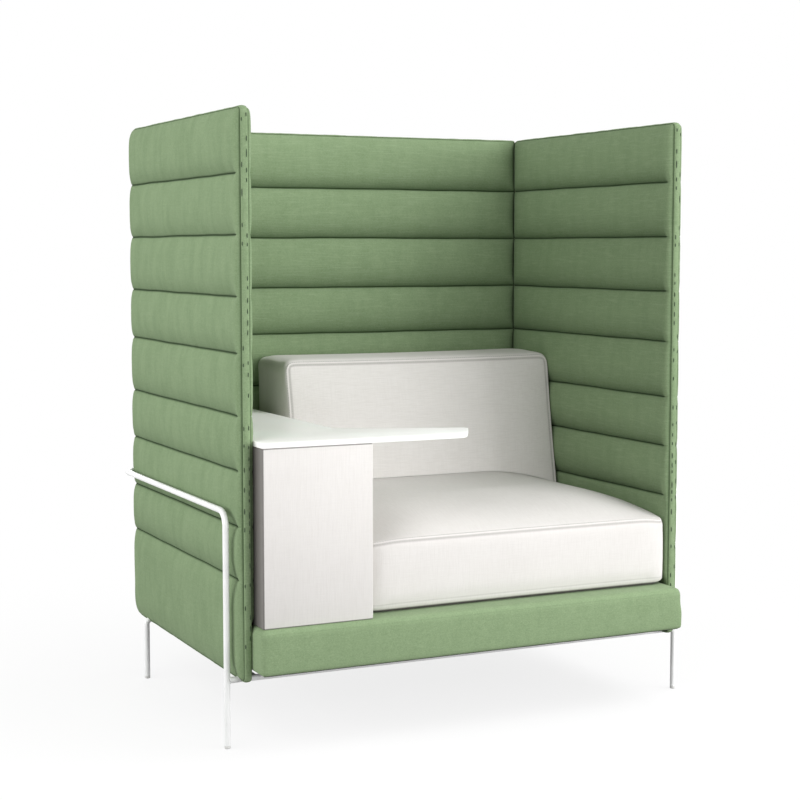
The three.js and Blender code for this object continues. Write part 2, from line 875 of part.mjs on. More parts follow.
// Upholstery over the base: a soft-edged shell, open underneath
function baseCover() {
  const depth = baseRear - baseFront;
  const height = baseTop - baseBottom;
  const ring = (inset, level) => {
    const outline = cushionOutline(
      2 * (baseHalf - inset),
      depth - 2 * inset,
      Math.max(baseRoll - inset, baseRoll * rollStepShare),
      0,
    );
    return outline.map((point) => new THREE.Vector3(point.x, point.y, level));
  };
  const loops = [];
  for (let i = 0; i <= cornerSteps; i += 1) {
    const angle = (i / cornerSteps) * (Math.PI / 2);
    loops.push(ring(baseRoll * (1 - Math.sin(angle)), baseRoll * (1 - Math.cos(angle))));
  }
  const top = loops.map((loop) => loop.map((point) => point.clone().setZ(height - point.z)));
  const skin = skinLoops([...loops, ...top.reverse()]);
  skin.translate(0, (baseRear + baseFront) / 2, baseBottom);
  const cavity = block(
    -cavityHalf,
    cavityHalf,
    baseFront + baseWall,
    baseRear - baseWall,
    baseBottom - overrun,
    baseTop - baseWall,
  );
  const holes = [-1, 1].flatMap((side) => baseBoltHoles(side, baseHalf));
  return cut(skin, cavity, ...holes);
}

// Holes for the screen bolts through one side of the base
function baseBoltHoles(side, faceX) {
  const axis = side > 0 ? "+x" : "-x";
  return screenBoltPlaces.map((y) =>
    rod(screwRadius + seatGap, 2 * overrun, axis, side * (faceX - overrun), y, screenBoltZ),
  );
}

function baseSideRail(side) {
  const inner = side * (railHalf - railWidth);
  const outer = side * railHalf;
  const rail = block(
    Math.min(inner, outer),
    Math.max(inner, outer),
    railFront + railWidth + seatGap,
    railRear - railWidth - seatGap,
    baseBottom,
    railTop,
  );
  const screwHoles = bushPlaces.map((y) =>
    drill(screwRadius + seatGap, screwBite + seatGap, "+z", side * sideRailMidX, y, baseBottom),
  );
  return cut(rail, ...baseBoltHoles(side, railHalf), ...screwHoles);
}

function baseEndRail(start) {
  return block(-railHalf, railHalf, start, start + railWidth, baseBottom, railTop);
}

function baseDeck() {
  return block(-railHalf, railHalf, railFront, railRear, railTop + seatGap, deckTop);
}

function baseCloth() {
  const top = baseBottom - seatGap;
  const cloth = block(-railHalf, railHalf, railFront, railRear, top - clothThickness, top);
  const holes = [-1, 1].flatMap((side) =>
    bushPlaces.map((y) => drill(bushRadius + seatGap, overrun, "+z", side * sideRailMidX, y, baseBottom)),
  );
  return cut(cloth, ...holes);
}

// The arm block's fabric cover: four crisp-edged walls round the carcass
function blockCover() {
  const shape = roundedRectangle(blockLeft, blockFront, blockRight, blockRear, blockEdge);
  const inner = blockWall;
  const hole = roundedRectangle(
    blockLeft + inner,
    blockFront + inner,
    blockRight - inner,
    blockRear - inner,
    blockEdge - inner,
  );
  shape.holes.push(hole);
  return slab(shape, blockTop - blockBottom).translate(0, 0, blockBottom);
}

const carcassInset = blockWall + seatGap;

function blockEndBoard(isFront) {
  const start = isFront ? blockFront + carcassInset : blockRear - carcassInset - blockBoard;
  return block(
    blockLeft + carcassInset,
    blockRight - carcassInset,
    start,
    start + blockBoard,
    blockBottom,
    blockTop,
  );
}

function blockSideBoard(isLeft) {
  const start = isLeft ? blockLeft + carcassInset : blockRight - carcassInset - blockBoard;
  const end = carcassInset + blockBoard + seatGap;
  return block(start, start + blockBoard, blockFront + end, blockRear - end, blockBottom, blockTop);
}

// Worktop over the block, running out into a tapering tongue over the seat
function worktop() {
  const frontEdge = blockFront - worktopEdge;
  const tipFront = blockRight + tongueReach - tongueSlant;
  const outline = filletedOutline([
    [blockLeft, frontEdge, worktopCorner],
    [tipFront, frontEdge, tongueTipRadius],
    [blockRight + tongueReach, frontEdge + tongueTipDepth, tongueTipRadius],
    [blockRight, frontEdge + tongueRootDepth, tongueRootFillet],
    [blockRight, blockRear, worktopCorner],
    [blockLeft, blockRear, worktopCorner],
  ]);
  return new THREE.ExtrudeGeometry(outline, {
    depth: worktopThickness - 2 * worktopEdge,
    bevelThickness: worktopEdge,
    bevelSize: worktopEdge,
    bevelOffset: -worktopEdge,
    bevelSegments: 1,
    curveSegments: curveSteps,
  }).translate(0, 0, worktopBottom + worktopEdge);
}

const seatSize = {
  width: 2 * seatHalfWidth() - 2 * seatBulge,
  depth: baseRear + seatFrontInset - 2 * seatBulge,
  corner: seatCorner,
  drawIn: seatDrawIn,
  roll: seatRoll,
  bulge: seatBulge,
  seamInset: seatSeamInset,
  crown: seatCrown,
};

function seatHalfWidth() {
  return (innerCrownX - seatGap - blockRight - seatBlockGap) / 2;
}

// The seat's seam lies low along the front edge and climbs along the sides
function seatSeamLevel(point) {
  const fromFront = point.y + seatSize.depth / 2;
  const share = Math.min(1, Math.max(0, fromFront / (seatRiseShare * seatSize.depth)));
  const smooth = share * share * (3 - 2 * share);
  return seatFrontSeam + (seatSideSeam - seatFrontSeam) * smooth - baseTop - seatGap;
}

function seatCushion() {
  const middleX = (innerCrownX - seatGap + blockRight + seatBlockGap) / 2;
  const middleY = (baseRear - seatFrontInset) / 2;
  return cushion(seatSize, seatSeamLevel).translate(middleX, middleY, baseTop + seatGap);
}

// The back cushion is a wedge: its rear stands flat against the back screen and its front leans back
function backCushion() {
  const leftX = blockRight + backLeftGap;
  const rightX = innerCrownX - backRightGap;
  const size = {
    width: rightX - leftX,
    depth: backHeight,
    corner: backCorner,
    drawIn: backDrawIn,
    roll: backRoll,
    bulge: backBulge,
    seamInset: backSeamInset,
    crown: backCrown,
  };
  const thickness = (point) => backTopThickness + backLean * (0.5 - point.y / backHeight);
  const middleZ = backBottom + backHeight / 2;
  const form = cushion(size, thickness);
  const wedge = stand(form, right, front, (leftX + rightX) / 2, baseRear, middleZ);
  return cut(wedge, seatCushion().translate(0, 0, seatGap));
}

// Assembly
const chair = new THREE.Group();
const body = new THREE.Group();
body.position.y = -centreY;
chair.add(body);

function add(name, geometry, material) {
  const mesh = new THREE.Mesh(geometry, material);
  mesh.name = name;
  body.add(mesh);
}

const sides = [
  ["left", -1],
  ["right", 1],
];
const places = ["front", "rear"];
const levels = ["lower", "upper"];

for (const [word, side] of sides) {
  add(`${word}_hoop_tube`, hoopTube(side), whiteSteel());
  add(`${word}_rail_spigot`, railSpigot(side), zincSteel());
  add(`${word}_side_tube`, sideTube(side), whiteSteel());
  add(`${word}_rail_standoff`, standoff(side * standoffX), whiteSteel());
  add(`${word}_front_foot`, foot(side * railX, legSetback), whitePlastic());
  add(`${word}_rear_foot`, foot(side * rearLegX, rearLegY), whitePlastic());
  places.forEach((place, i) => {
    add(`${word}_${place}_base_bush`, bush(side, bushPlaces[i]), whiteSteel());
    add(`${word}_${place}_base_screw`, frameScrew(side, bushPlaces[i]), zincSteel());
    add(`${word}_${place}_screen_bolt`, screenBolt(side, screenBoltPlaces[i]), zincSteel());
  });
  levels.forEach((level, i) => {
    add(`${word}_${level}_corner_screw`, cornerScrew(side, cornerScrewPlaces[i]), zincSteel());
  });
}
add("front_cross_tube", frontCrossTube(), whiteSteel());
add("rear_frame_tube", rearFrameTube(), whiteSteel());
add("rear_rail_tube", rearRailTube(), whiteSteel());

const screens = { left: sideScreen(-1), right: sideScreen(1), back: backScreen() };
for (const [word, pieces] of Object.entries(screens)) {
  add(`${word}_screen_board`, pieces.board, plywood());
  add(`${word}_screen_edge_band`, pieces.edge_band, greenBand());
  if (pieces.bottom_band) add(`${word}_screen_bottom_band`, pieces.bottom_band, greenBand());
  add(`${word}_screen_outer_pad`, pieces.outer_pad, greenFelt());
  add(`${word}_screen_inner_pad`, pieces.inner_pad, greenFelt());
}

add("base_cover", baseCover(), greenFelt());
add("base_deck", baseDeck(), plywood());
add("base_front_rail", baseEndRail(railFront), timber());
add("base_rear_rail", baseEndRail(railRear - railWidth), timber());
add("base_left_rail", baseSideRail(-1), timber());
add("base_right_rail", baseSideRail(1), timber());
add("base_under_cloth", baseCloth(), darkCloth());

add("block_cover", blockCover(), paleFabric());
add("block_front_board", blockEndBoard(true), plywood());
add("block_rear_board", blockEndBoard(false), plywood());
add("block_left_board", blockSideBoard(true), plywood());
add("block_right_board", blockSideBoard(false), plywood());
add("worktop", worktop(), whiteLaminate());

add("seat_cushion", seatCushion(), paleFabric());
add("back_cushion", backCushion(), paleFabric());

export default chair;
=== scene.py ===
"""Acoustic high back lounge chair: felt screens, linen cushions, a laminate worktop, a coated tube frame."""

import math

import bmesh
import bpy
import numpy as np
from bpy.props import FloatProperty, FloatVectorProperty, IntProperty, PointerProperty
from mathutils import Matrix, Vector, noise
from mathutils.bvhtree import BVHTree


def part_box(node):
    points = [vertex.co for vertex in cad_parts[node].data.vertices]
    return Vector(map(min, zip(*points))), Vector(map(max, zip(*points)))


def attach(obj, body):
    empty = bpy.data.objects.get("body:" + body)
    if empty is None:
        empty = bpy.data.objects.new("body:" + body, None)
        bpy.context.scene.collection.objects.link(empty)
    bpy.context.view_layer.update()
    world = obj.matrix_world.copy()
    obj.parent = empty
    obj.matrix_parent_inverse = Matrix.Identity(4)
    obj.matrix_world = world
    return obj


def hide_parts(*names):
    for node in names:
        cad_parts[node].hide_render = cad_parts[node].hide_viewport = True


bl_info = {
    "name": "Acoustic High Back Lounge Chair",
    "version": (1, 0, 0),
    "blender": (4, 5, 0),
    "location": "3D View > Sidebar > Lounge Chair",
    "description": "Dresses the lounge chair's frame in felt, linen, laminate and coated steel",
    "category": "Object",
}

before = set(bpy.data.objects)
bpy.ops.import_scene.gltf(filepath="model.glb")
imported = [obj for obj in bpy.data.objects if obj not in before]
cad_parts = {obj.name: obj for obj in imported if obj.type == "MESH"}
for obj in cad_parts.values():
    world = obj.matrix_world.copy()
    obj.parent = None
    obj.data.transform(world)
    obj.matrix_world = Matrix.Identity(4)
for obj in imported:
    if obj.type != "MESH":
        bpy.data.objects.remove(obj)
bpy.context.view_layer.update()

UP = Vector((0, 0, 1))
RIGHT = Vector((1, 0, 0))
BACK = Vector((0, 1, 0))

# Channel heights from the top down, as shares of a screen's height
CHANNEL_SHARES = (0.1121, 0.106, 0.1064, 0.0983, 0.1089, 0.097, 0.0981, 0.0945, 0.1787)
# Where rows of points stand in half a channel, in metres from its crease, and the further ones of a channel
# that is taller than TALL_CHANNEL
CREASE_ROWS = (0.0012, 0.0036, 0.008, 0.015, 0.025, 0.038)
TALL_ROWS = (0.058, 0.08)
TALL_CHANNEL = 0.18
# Rows keep this far from a channel's middle row
MIDDLE_GAP = 0.006
# Where lines of points stand in from a pad's or cushion's edge, in metres
EDGE_LINES = (0.0015, 0.004, 0.008, 0.013, 0.02)
# Distance between lines of points farther in, in metres
LINE_SPACING = 0.014
# Corner radii of a screen's outline in metres: at its front, at its rear, and where two screens meet
FRONT_CORNER = 0.011
REAR_CORNER = 0.03
MEETING_CORNER = 0.008
SIDES = {-1: "left", 1: "right"}
# How the cloth that fills a cover behaves
CLOTH = {
    "quality": 4, "mass": 0.3, "tension_stiffness": 12, "compression_stiffness": 12, "bending_stiffness": 0.4,
    "use_pressure": True,
}
# Length, pitch and thickness of the stitches in a pad's border and in a cushion's seam, in metres
PAD_STITCH = (0.0048, 0.0125, 0.0012)
CUSHION_STITCH = (0.005, 0.0062, 0.0009)
BAND_THREAD = 0.0026


def colour_property(name, description, default):
    return FloatVectorProperty(
        name=name, description=description, subtype="COLOR", size=3, min=0, max=1, default=default
    )


def length_property(name, description, default):
    return FloatProperty(
        name=name, description=description, unit="LENGTH", default=default, min=0, precision=4
    )


def number_property(name, description, default):
    return FloatProperty(name=name, description=description, default=default, min=0)


class ScreenSettings(bpy.types.PropertyGroup):
    """Sizes and colours of the felt screens"""

    channel_crown: length_property("Channel crown", "How far a channel stands out from its creases", 0.0125)
    crease_level: length_property("Crease level", "How thick the pad is at a crease", 0.0014)
    edge_roll: length_property("Edge roll", "Over what run a pad rolls down to its edge", 0.011)
    meeting_roll: length_property("Corner roll", "Over what run two pads roll into an inner corner", 0.026)
    pinch: number_property("Pinch", "How much of a crease's dip reaches the front edge", 0.5)
    pucker: length_property("Pucker", "How deep the felt puckers along a seam", 0.00045)
    band_crown: length_property("Band crown", "How far the edge band stands out from its seams", 0.0045)
    stitch_length: length_property("Stitch length", "Length of one stitch on the bands", 0.0088)
    stitch_pitch: length_property("Stitch pitch", "Distance from one stitch to the next", 0.023)
    felt: colour_property("Felt", "Main colour of the wool felt", (0.22, 0.302, 0.168))
    felt_dark: colour_property("Dark felt fibre", "Darker fibre in the felt", (0.156, 0.229, 0.116))
    felt_light: colour_property("Light felt fibre", "Lighter fibre in the felt", (0.293, 0.376, 0.235))
    # The seam colour is also the painted shade in the felt's creases, inner corners, pad edges and above each
    # crease
    seam: colour_property("Seam", "Colour deep in a seam", (0.027, 0.055, 0.018))


class CushionSettings(bpy.types.PropertyGroup):
    """Sizes and colours of the cushions and the arm block's cover"""

    seat_crown: length_property("Seat crown", "How far the seat's middle stands above its seam", 0.04)
    back_crown: length_property("Back crown", "How far the back cushion's face stands out", 0.012)
    seam_depth: length_property("Seam depth", "How deep a cushion's seam is sewn in", 0.0014)
    pressure: number_property("Fill pressure", "Pressure of the filling", 4.0)
    linen: colour_property("Linen", "Main colour of the linen", (0.742, 0.72, 0.7))
    linen_shade: colour_property("Linen slub", "Darker yarn in the linen", (0.615, 0.59, 0.562))
    # The linen seam colour is also the painted shade beside the screen on the block, on the back cushion's
    # left side and along the cushions' feet
    linen_seam_and_shade: colour_property("Linen seam", "Colour deep in a linen seam", (0.1, 0.092, 0.083))


class FrameSettings(bpy.types.PropertyGroup):
    """Sizes and colours of the tube frame and the worktop"""

    tube_sides: IntProperty(name="Tube sides", description="Sides drawn round a tube", default=32, min=12)
    tube_wall: length_property("Tube wall", "Wall of the steel tube", 0.0015)
    bead: length_property("Weld bead", "Thickness of a weld bead", 0.0012)
    steel: colour_property("Steel", "Colour of the powder coat", (0.9, 0.905, 0.9))
    laminate: colour_property("Laminate", "Colour of the worktop", (0.98, 0.968, 0.955))


class StageSettings(bpy.types.PropertyGroup):
    """Strength of the sky and the lamps"""

    sky: number_property("Sky", "Strength of the even light from all round", 0.228)
    key: number_property("Key", "Power of the lamp at the front right, in watts", 135.0)
    high: number_property("High", "Power of the high lamp at the front right, in watts", 36.0)
    over: number_property("Over", "Power of the high lamp at the right, in watts", 110.0)
    front: number_property("Front", "Power of the lamp in front, in watts", 76.0)
    left: number_property("Left", "Power of the high lamp at the front left, in watts", 94.0)
    side: number_property("Side", "Power of the lamp at the left, in watts", 128.0)
    rear: number_property("Rear", "Power of the lamp behind, in watts", 80.0)


def screens():
    return bpy.context.scene.lounge_screens


def cushions():
    return bpy.context.scene.lounge_cushions


def frame_settings():
    return bpy.context.scene.lounge_frame


# Small helpers


def smooth(values, low, high):
    """Zero below low, one above high, and an even curve between."""
    share = np.clip((np.asarray(values, float) - low) / (high - low), 0, 1)
    return share * share * (3 - 2 * share)


def noise_at(*axes):
    """Noise at places whose coordinates are arrays or single numbers."""
    places = np.broadcast(*(np.asarray(axis, float) for axis in axes))
    return np.array([noise.noise(Vector(place)) for place in places])


def wander(values, scale, seed):
    """A slow, even wander between about -1 and 1 along an array of lengths."""
    return noise_at(np.asarray(values, float) * scale, seed, 0.37) * 2


def mesh_object(name, points, faces):
    mesh = bpy.data.meshes.new(name)
    mesh.from_pydata([tuple(p) for p in points], [], [tuple(int(i) for i in f) for f in faces])
    mesh.update()
    piece = bpy.data.objects.new(name, mesh)
    bpy.context.scene.collection.objects.link(piece)
    return piece


def coordinates(piece, key="co"):
    """A piece's points as rows of an array, or with the key normal their directions."""
    rows = np.zeros(len(piece.data.vertices) * 3)
    piece.data.vertices.foreach_get(key, rows)
    return rows.reshape(-1, 3)


def set_coordinates(piece, points):
    piece.data.vertices.foreach_set("co", np.asarray(points, float).ravel())
    piece.data.update()


def pick(piece):
    """Makes one piece the only selected and active one."""
    bpy.ops.object.select_all(action="DESELECT")
    piece.select_set(True)
    bpy.context.view_layer.objects.active = piece


def apply_modifier(piece, modifier):
    pick(piece)
    bpy.ops.object.modifier_apply(modifier=modifier.name)


def subdivide(piece):
    modifier = piece.modifiers.new("Smooth", "SUBSURF")
    modifier.levels = 1
    apply_modifier(piece, modifier)


def add_wall(piece, thickness, even=False):
    """Gives an open surface a wall on its inner side."""
    wall = piece.modifiers.new("Wall", "SOLIDIFY")
    wall.thickness = thickness
    wall.offset = -1
    wall.use_even_offset = even
    apply_modifier(piece, wall)


def start_piece(name, add, **settings):
    """Adds a mesh by the operator given and names it."""
    bpy.ops.object.select_all(action="DESELECT")
    add(**settings)
    piece = bpy.context.active_object
    piece.name = piece.data.name = name
    bpy.ops.object.transform_apply(location=True, rotation=True, scale=True)
    return piece


def turned_to(way):
    """The turn that points an object's Z along a direction."""
    return Vector(way).to_track_quat("Z", "Y").to_euler()


def edit_all():
    """Enters edit mode with everything selected."""
    bpy.ops.object.mode_set(mode="EDIT")
    bpy.ops.mesh.select_all(action="SELECT")


def cut(axis, level):
    """Cuts the mesh in edit mode by a plane square to an axis."""
    bpy.ops.mesh.select_all(action="SELECT")
    bpy.ops.mesh.bisect(plane_co=axis * level, plane_no=axis)


def turn_outward():
    """Turns the faces of the mesh in edit mode outward."""
    bpy.ops.mesh.select_all(action="SELECT")
    bpy.ops.mesh.normals_make_consistent(inside=False)


def shade(piece, degrees=None):
    pick(piece)
    if degrees is None:
        bpy.ops.object.shade_smooth()
    else:
        bpy.ops.object.shade_smooth_by_angle(angle=math.radians(degrees))


def paint_seams_and_shade(piece, values):
    """Stores how deep in a seam each point lies, and how much shade is painted there, which the cloths'
    materials read.
    """
    attribute = piece.data.attributes.get("seam") or piece.data.attributes.new("seam", "FLOAT", "POINT")
    attribute.data.foreach_set("value", np.clip(values, 0, 1).astype(np.float32))


def dress(piece, material, nodes=()):
    """Gives a finished piece its material, its place on the frame and the solids that it stands for."""
    piece.data.materials.clear()
    piece.data.materials.append(material)
    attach(piece, "root")
    if nodes:
        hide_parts(*nodes)
    return piece


def inflate(piece, sewn, cap, frames=20):
    """Fills a cover with cloth pressure while its sewn points hold.

    No point ends farther than cap from its place; cap is one length, or one for each point.
    """
    rest = coordinates(piece)
    group = piece.vertex_groups.new(name="sewn")
    group.add([int(i) for i in np.flatnonzero(sewn)], 1.0, "REPLACE")
    cloth = piece.modifiers.new("Cloth", "CLOTH")
    cloth.settings.vertex_group_mass = group.name
    for key, value in CLOTH.items():
        setattr(cloth.settings, key, value)
    cloth.settings.uniform_pressure_force = cushions().pressure
    cloth.settings.effector_weights.gravity = 0
    cloth.collision_settings.use_collision = False
    cloth.point_cache.frame_start = 1
    cloth.point_cache.frame_end = frames
    for step in range(1, frames + 1):
        bpy.context.scene.frame_set(step)
    apply_modifier(piece, cloth)
    bpy.context.scene.frame_set(1)
    piece.vertex_groups.clear()
    move = coordinates(piece) - rest
    far = np.linalg.norm(move, axis=1, keepdims=True)
    cap = np.broadcast_to(np.reshape(cap, (-1, 1)), far.shape)
    reach = cap * np.tanh(far / cap)
    set_coordinates(piece, rest + move * np.divide(reach, far, out=np.zeros_like(far), where=far > 0))


# Materials


def add_node(tree, kind, inputs=None, **settings):
    made = tree.nodes.new(kind)
    for key, value in settings.items():
        setattr(made, key, value)
    for key, value in (inputs or {}).items():
        if isinstance(value, bpy.types.NodeSocket):
            tree.links.new(value, made.inputs[key])
        else:
            made.inputs[key].default_value = value
    return made


def new_material(name):
    material = bpy.data.materials.new(name)
    material.use_nodes = True
    return material, material.node_tree, material.node_tree.nodes["Principled BSDF"]


def rgba(colour):
    return (*colour, 1.0)


def stretched_noise(tree, scale, detail=2.0, roughness=0.5):
    """Noise on the piece's own coordinates, as many times a metre as scale says along each axis."""
    place = add_node(tree, "ShaderNodeTexCoord").outputs["Object"]
    mapped = add_node(tree, "ShaderNodeMapping", {"Vector": place, "Scale": scale}).outputs["Vector"]
    inputs = {"Vector": mapped, "Scale": 1.0, "Detail": detail, "Roughness": roughness}
    return add_node(tree, "ShaderNodeTexNoise", inputs).outputs["Fac"]


def blend_colour(tree, share, first, second):
    mixer = add_node(tree, "ShaderNodeMix", {"Factor": share}, data_type="RGBA")
    for socket, value in (("A", first), ("B", second)):
        target = [s for s in mixer.inputs if s.name == socket and s.type == "RGBA"][0]
        if isinstance(value, bpy.types.NodeSocket):
            tree.links.new(value, target)
        else:
            target.default_value = rgba(value)
    return [s for s in mixer.outputs if s.type == "RGBA"][0]


def spread(tree, value, low, high, to_low=0.0, to_high=1.0):
    inputs = {"Value": value, "From Min": low, "From Max": high, "To Min": to_low, "To Max": to_high}
    return add_node(tree, "ShaderNodeMapRange", inputs).outputs["Result"]


def combine(tree, operation, first, second):
    node = add_node(tree, "ShaderNodeMath", {0: first, 1: second}, operation=operation)
    return node.outputs["Value"]


def bump(tree, shader, height, strength, distance):
    node = add_node(tree, "ShaderNodeBump", {"Height": height, "Strength": strength, "Distance": distance})
    tree.links.new(node.outputs["Normal"], shader.inputs["Normal"])


def layered(tree, colour, layers):
    """Blends tints over a colour. A layer is a texture, its range, how strongly it shows, and its tint."""
    for value, low, high, share, tint in layers:
        colour = blend_colour(tree, spread(tree, value, low, high, 0.0, share), colour, tint)
    return colour


def in_seams_and_shade(tree, colour, seam):
    """Darkens a cloth by what paint_seams_and_shade has stored: its dark seams and its painted shade."""
    depth = add_node(tree, "ShaderNodeAttribute", attribute_name="seam").outputs["Fac"]
    return blend_colour(tree, depth, colour, seam)


def surface(tree, shader, colour, roughness):
    tree.links.new(colour, shader.inputs["Base Color"])
    tree.links.new(roughness, shader.inputs["Roughness"])


def felt_material(name, main, dark, light, seam, threads, mottled):
    """Wool felt: mixed fibres, soft upright mottling, level threads, fine raised fibres, dark seams and
    painted shade.
    """
    material, tree, shader = new_material(name)
    fibre = stretched_noise(tree, (520, 520, 520), 3.0, 0.65)
    thread = stretched_noise(tree, (20, 20, 340), 2.0)
    mottle = stretched_noise(tree, (34, 34, 10), 3.0, 0.6)
    grain = stretched_noise(tree, (240, 240, 320), 2.0, 0.6)
    layers = (
        (mottle, 0.38, 0.66, mottled, dark), (fibre, 0.55, 0.75, 0.5, light), (fibre, 0.45, 0.28, 0.55, dark),
        (grain, 0.52, 0.72, 0.35, light), (grain, 0.46, 0.3, 0.35, dark), (thread, 0.5, 0.75, threads, light),
    )
    colour = in_seams_and_shade(tree, layered(tree, main, layers), seam)
    surface(tree, shader, colour, spread(tree, fibre, 0.3, 0.7, 0.88, 1.0))
    shader.inputs["Sheen Weight"].default_value = 0.05
    shader.inputs["Sheen Roughness"].default_value = 0.5
    shader.inputs["Specular IOR Level"].default_value = 0.1
    bump(tree, shader, combine(tree, "ADD", fibre, thread), 0.35, 0.0008)
    return material


def linen_material(name, main, slub, seam, warp, weft):
    """Slubbed linen: uneven yarns both ways, warp and weft saying how strongly each shows."""
    material, tree, shader = new_material(name)
    across = stretched_noise(tree, (560, 34, 26), 2.0, 0.6)
    along = stretched_noise(tree, (26, 560, 560), 2.0, 0.6)
    cloudy = stretched_noise(tree, (9, 9, 9), 2.0)
    layers = (
        (across, 0.42, 0.72, warp, slub), (along, 0.42, 0.72, weft, slub), (cloudy, 0.4, 0.7, 0.12, slub),
    )
    colour = in_seams_and_shade(tree, layered(tree, main, layers), seam)
    surface(tree, shader, colour, spread(tree, across, 0.3, 0.7, 0.82, 0.96))
    shader.inputs["Sheen Weight"].default_value = 0.08
    shader.inputs["Specular IOR Level"].default_value = 0.25
    bump(tree, shader, combine(tree, "ADD", across, along), 0.3, 0.0006)
    return material


def coated_material(name, colour, low, high, metallic=0.0, grain=900.0):
    """Powder coat, plastic, plating, thread or dust cloth: one colour, a fine grain and uneven gloss."""
    material, tree, shader = new_material(name)
    fine = stretched_noise(tree, (grain, grain, grain), 2.0)
    wear = stretched_noise(tree, (14, 14, 14), 3.0)
    soiled = tuple(0.93 * c for c in colour)
    worn = blend_colour(tree, spread(tree, wear, 0.45, 0.75), colour, soiled)
    surface(tree, shader, worn, spread(tree, wear, 0.3, 0.7, low, high))
    shader.inputs["Metallic"].default_value = metallic
    bump(tree, shader, fine, 0.12, 0.0002)
    return material


def laminate_material(name, colour):
    """Smooth white laminate with a faint satin gloss."""
    material, tree, shader = new_material(name)
    fine = stretched_noise(tree, (1400, 1400, 1400), 2.0)
    haze = stretched_noise(tree, (6, 6, 6), 2.0)
    cool = (0.97 * colour[0], colour[1], 0.99 * colour[2])
    hazy = blend_colour(tree, spread(tree, haze, 0.4, 0.7), colour, cool)
    surface(tree, shader, hazy, spread(tree, haze, 0.3, 0.7, 0.34, 0.46))
    shader.inputs["Specular IOR Level"].default_value = 0.12
    bump(tree, shader, fine, 0.05, 0.0001)
    return material


def wood_material(name, early, late, rings):
    """Raw wood: drawn-out grain, with rings saying how many bands stand in a metre."""
    material, tree, shader = new_material(name)
    grain = stretched_noise(tree, (6, rings, rings), 4.0, 0.6)
    pores = stretched_noise(tree, (40, 900, 900), 2.0)
    layers = ((grain, 0.35, 0.65, 1.0, late), (pores, 0.6, 0.8, 0.35, tuple(0.6 * c for c in late)))
    surface(tree, shader, layered(tree, early, layers), spread(tree, pores, 0.3, 0.7, 0.55, 0.8))
    bump(tree, shader, pores, 0.2, 0.0003)
    return material


def finishes():
    """Every finish of the chair by name, made once and then kept."""
    kept = getattr(finishes, "kept", None)
    if kept:
        return kept
    felt, linen, steel = screens(), cushions(), frame_settings()
    felts = (felt.felt, felt.felt_dark, felt.felt_light, felt.seam)
    brighter = [tuple(1.07 * c for c in colour) for colour in (felt.felt, felt.felt_light)]
    bands = (brighter[0], felt.felt_dark, brighter[1], felt.seam)
    linens = (linen.linen, linen.linen_shade, linen.linen_seam_and_shade)
    finishes.kept = {
        "felt": felt_material("green_felt", *felts, 0.12, 0.46),
        "inner felt": felt_material("green_inner_felt", *felts, 0.42, 0.3),
        "band": felt_material("green_band_felt", *bands, 0.12, 0.3),
        "base": felt_material("green_base_felt", *bands, 0.12, 0.22),
        "upright linen": linen_material("upright_linen", *linens, 0.26, 0.14),
        "level linen": linen_material("level_linen", *linens, 0.22, 0.42),
        "seat linen": linen_material("seat_linen", *linens, 0.3, 0.2),
        "thread": coated_material("green_thread", (0.035, 0.06, 0.028), 0.7, 0.9),
        "pale thread": coated_material("linen_thread", (0.62, 0.6, 0.57), 0.7, 0.9),
        "steel": coated_material("white_powder_coat", steel.steel, 0.28, 0.42),
        "plastic": coated_material("white_foot_plastic", (0.72, 0.72, 0.7), 0.45, 0.6, 0.0, 500.0),
        "zinc": coated_material("zinc_plate", (0.62, 0.63, 0.65), 0.25, 0.45, 1.0, 600.0),
        "laminate": laminate_material("white_laminate", steel.laminate),
        "plywood": wood_material("birch_plywood", (0.62, 0.47, 0.29), (0.5, 0.35, 0.19), 700),
        "timber": wood_material("softwood", (0.66, 0.48, 0.28), (0.48, 0.3, 0.14), 110),
        "dust cloth": coated_material("black_dust_cloth", (0.02, 0.02, 0.02), 0.85, 0.98, 0.0, 1500.0),
    }
    return finishes.kept


# Screens


# A channel's section: how blunt it is, how blunt a pad's rolled edge is, and the longest rise in metres
CHANNEL_POWER = 2.7
ROLL_POWER = 0.8
LONGEST_RISE = 0.075
# Between which distances from the front edge a crease fades in, in metres
CREASE_START = (0.012, 0.028)
# Widths in metres: of a crease's dip, of the gathers beside a crease and a rim, and of the shade painted in
# both
DIP_WIDTH = 0.0022
GATHER_WIDTH = 0.009
RIM_WIDTH = 0.008
SEAM_WIDTH = 0.0026
BORDER_WIDTH = 0.0016
# Depths in metres: a crease's extra dip, the thinnest a pad gets, its loose felt and its creases' wander
CREASE_DIP = 0.001
THINNEST = 0.0003
SLACK = 0.0007
CREASE_WANDER = 0.0007
# How far, in metres, the painted shade reaches: of an inner corner's line and wider shade, and above and
# below a crease
CORNER_LINE = 0.007
CORNER_SHADE = 0.026
FOLD_SHADE_ABOVE = 0.021
FOLD_SHADE_BELOW = 0.004


def crease_heights(height):
    creases, level = [], height
    for share in CHANNEL_SHARES[:-1]:
        level -= share * height
        creases.insert(0, level)
    return creases


def pad_rows(height):
    """Heights of a pad's rows: close together at its ends and beside each crease."""
    rows = []
    levels = [0, *crease_heights(height), height]
    for low, high in zip(levels, levels[1:]):
        wanted = CREASE_ROWS + (TALL_ROWS if high - low > TALL_CHANNEL else ())
        steps = [s for s in wanted if s < (high - low) / 2 - MIDDLE_GAP]
        rows += [low, *(low + s for s in steps), (low + high) / 2, *(high - s for s in reversed(steps))]
    return np.array([*rows, height])


def pad_columns(width):
    count = max(2, round((width - 2 * EDGE_LINES[-1]) / LINE_SPACING))
    inner = np.linspace(EDGE_LINES[-1], width - EDGE_LINES[-1], count + 1)[1:-1]
    return np.array([0, *EDGE_LINES, *inner, *(width - line for line in reversed(EDGE_LINES)), width])


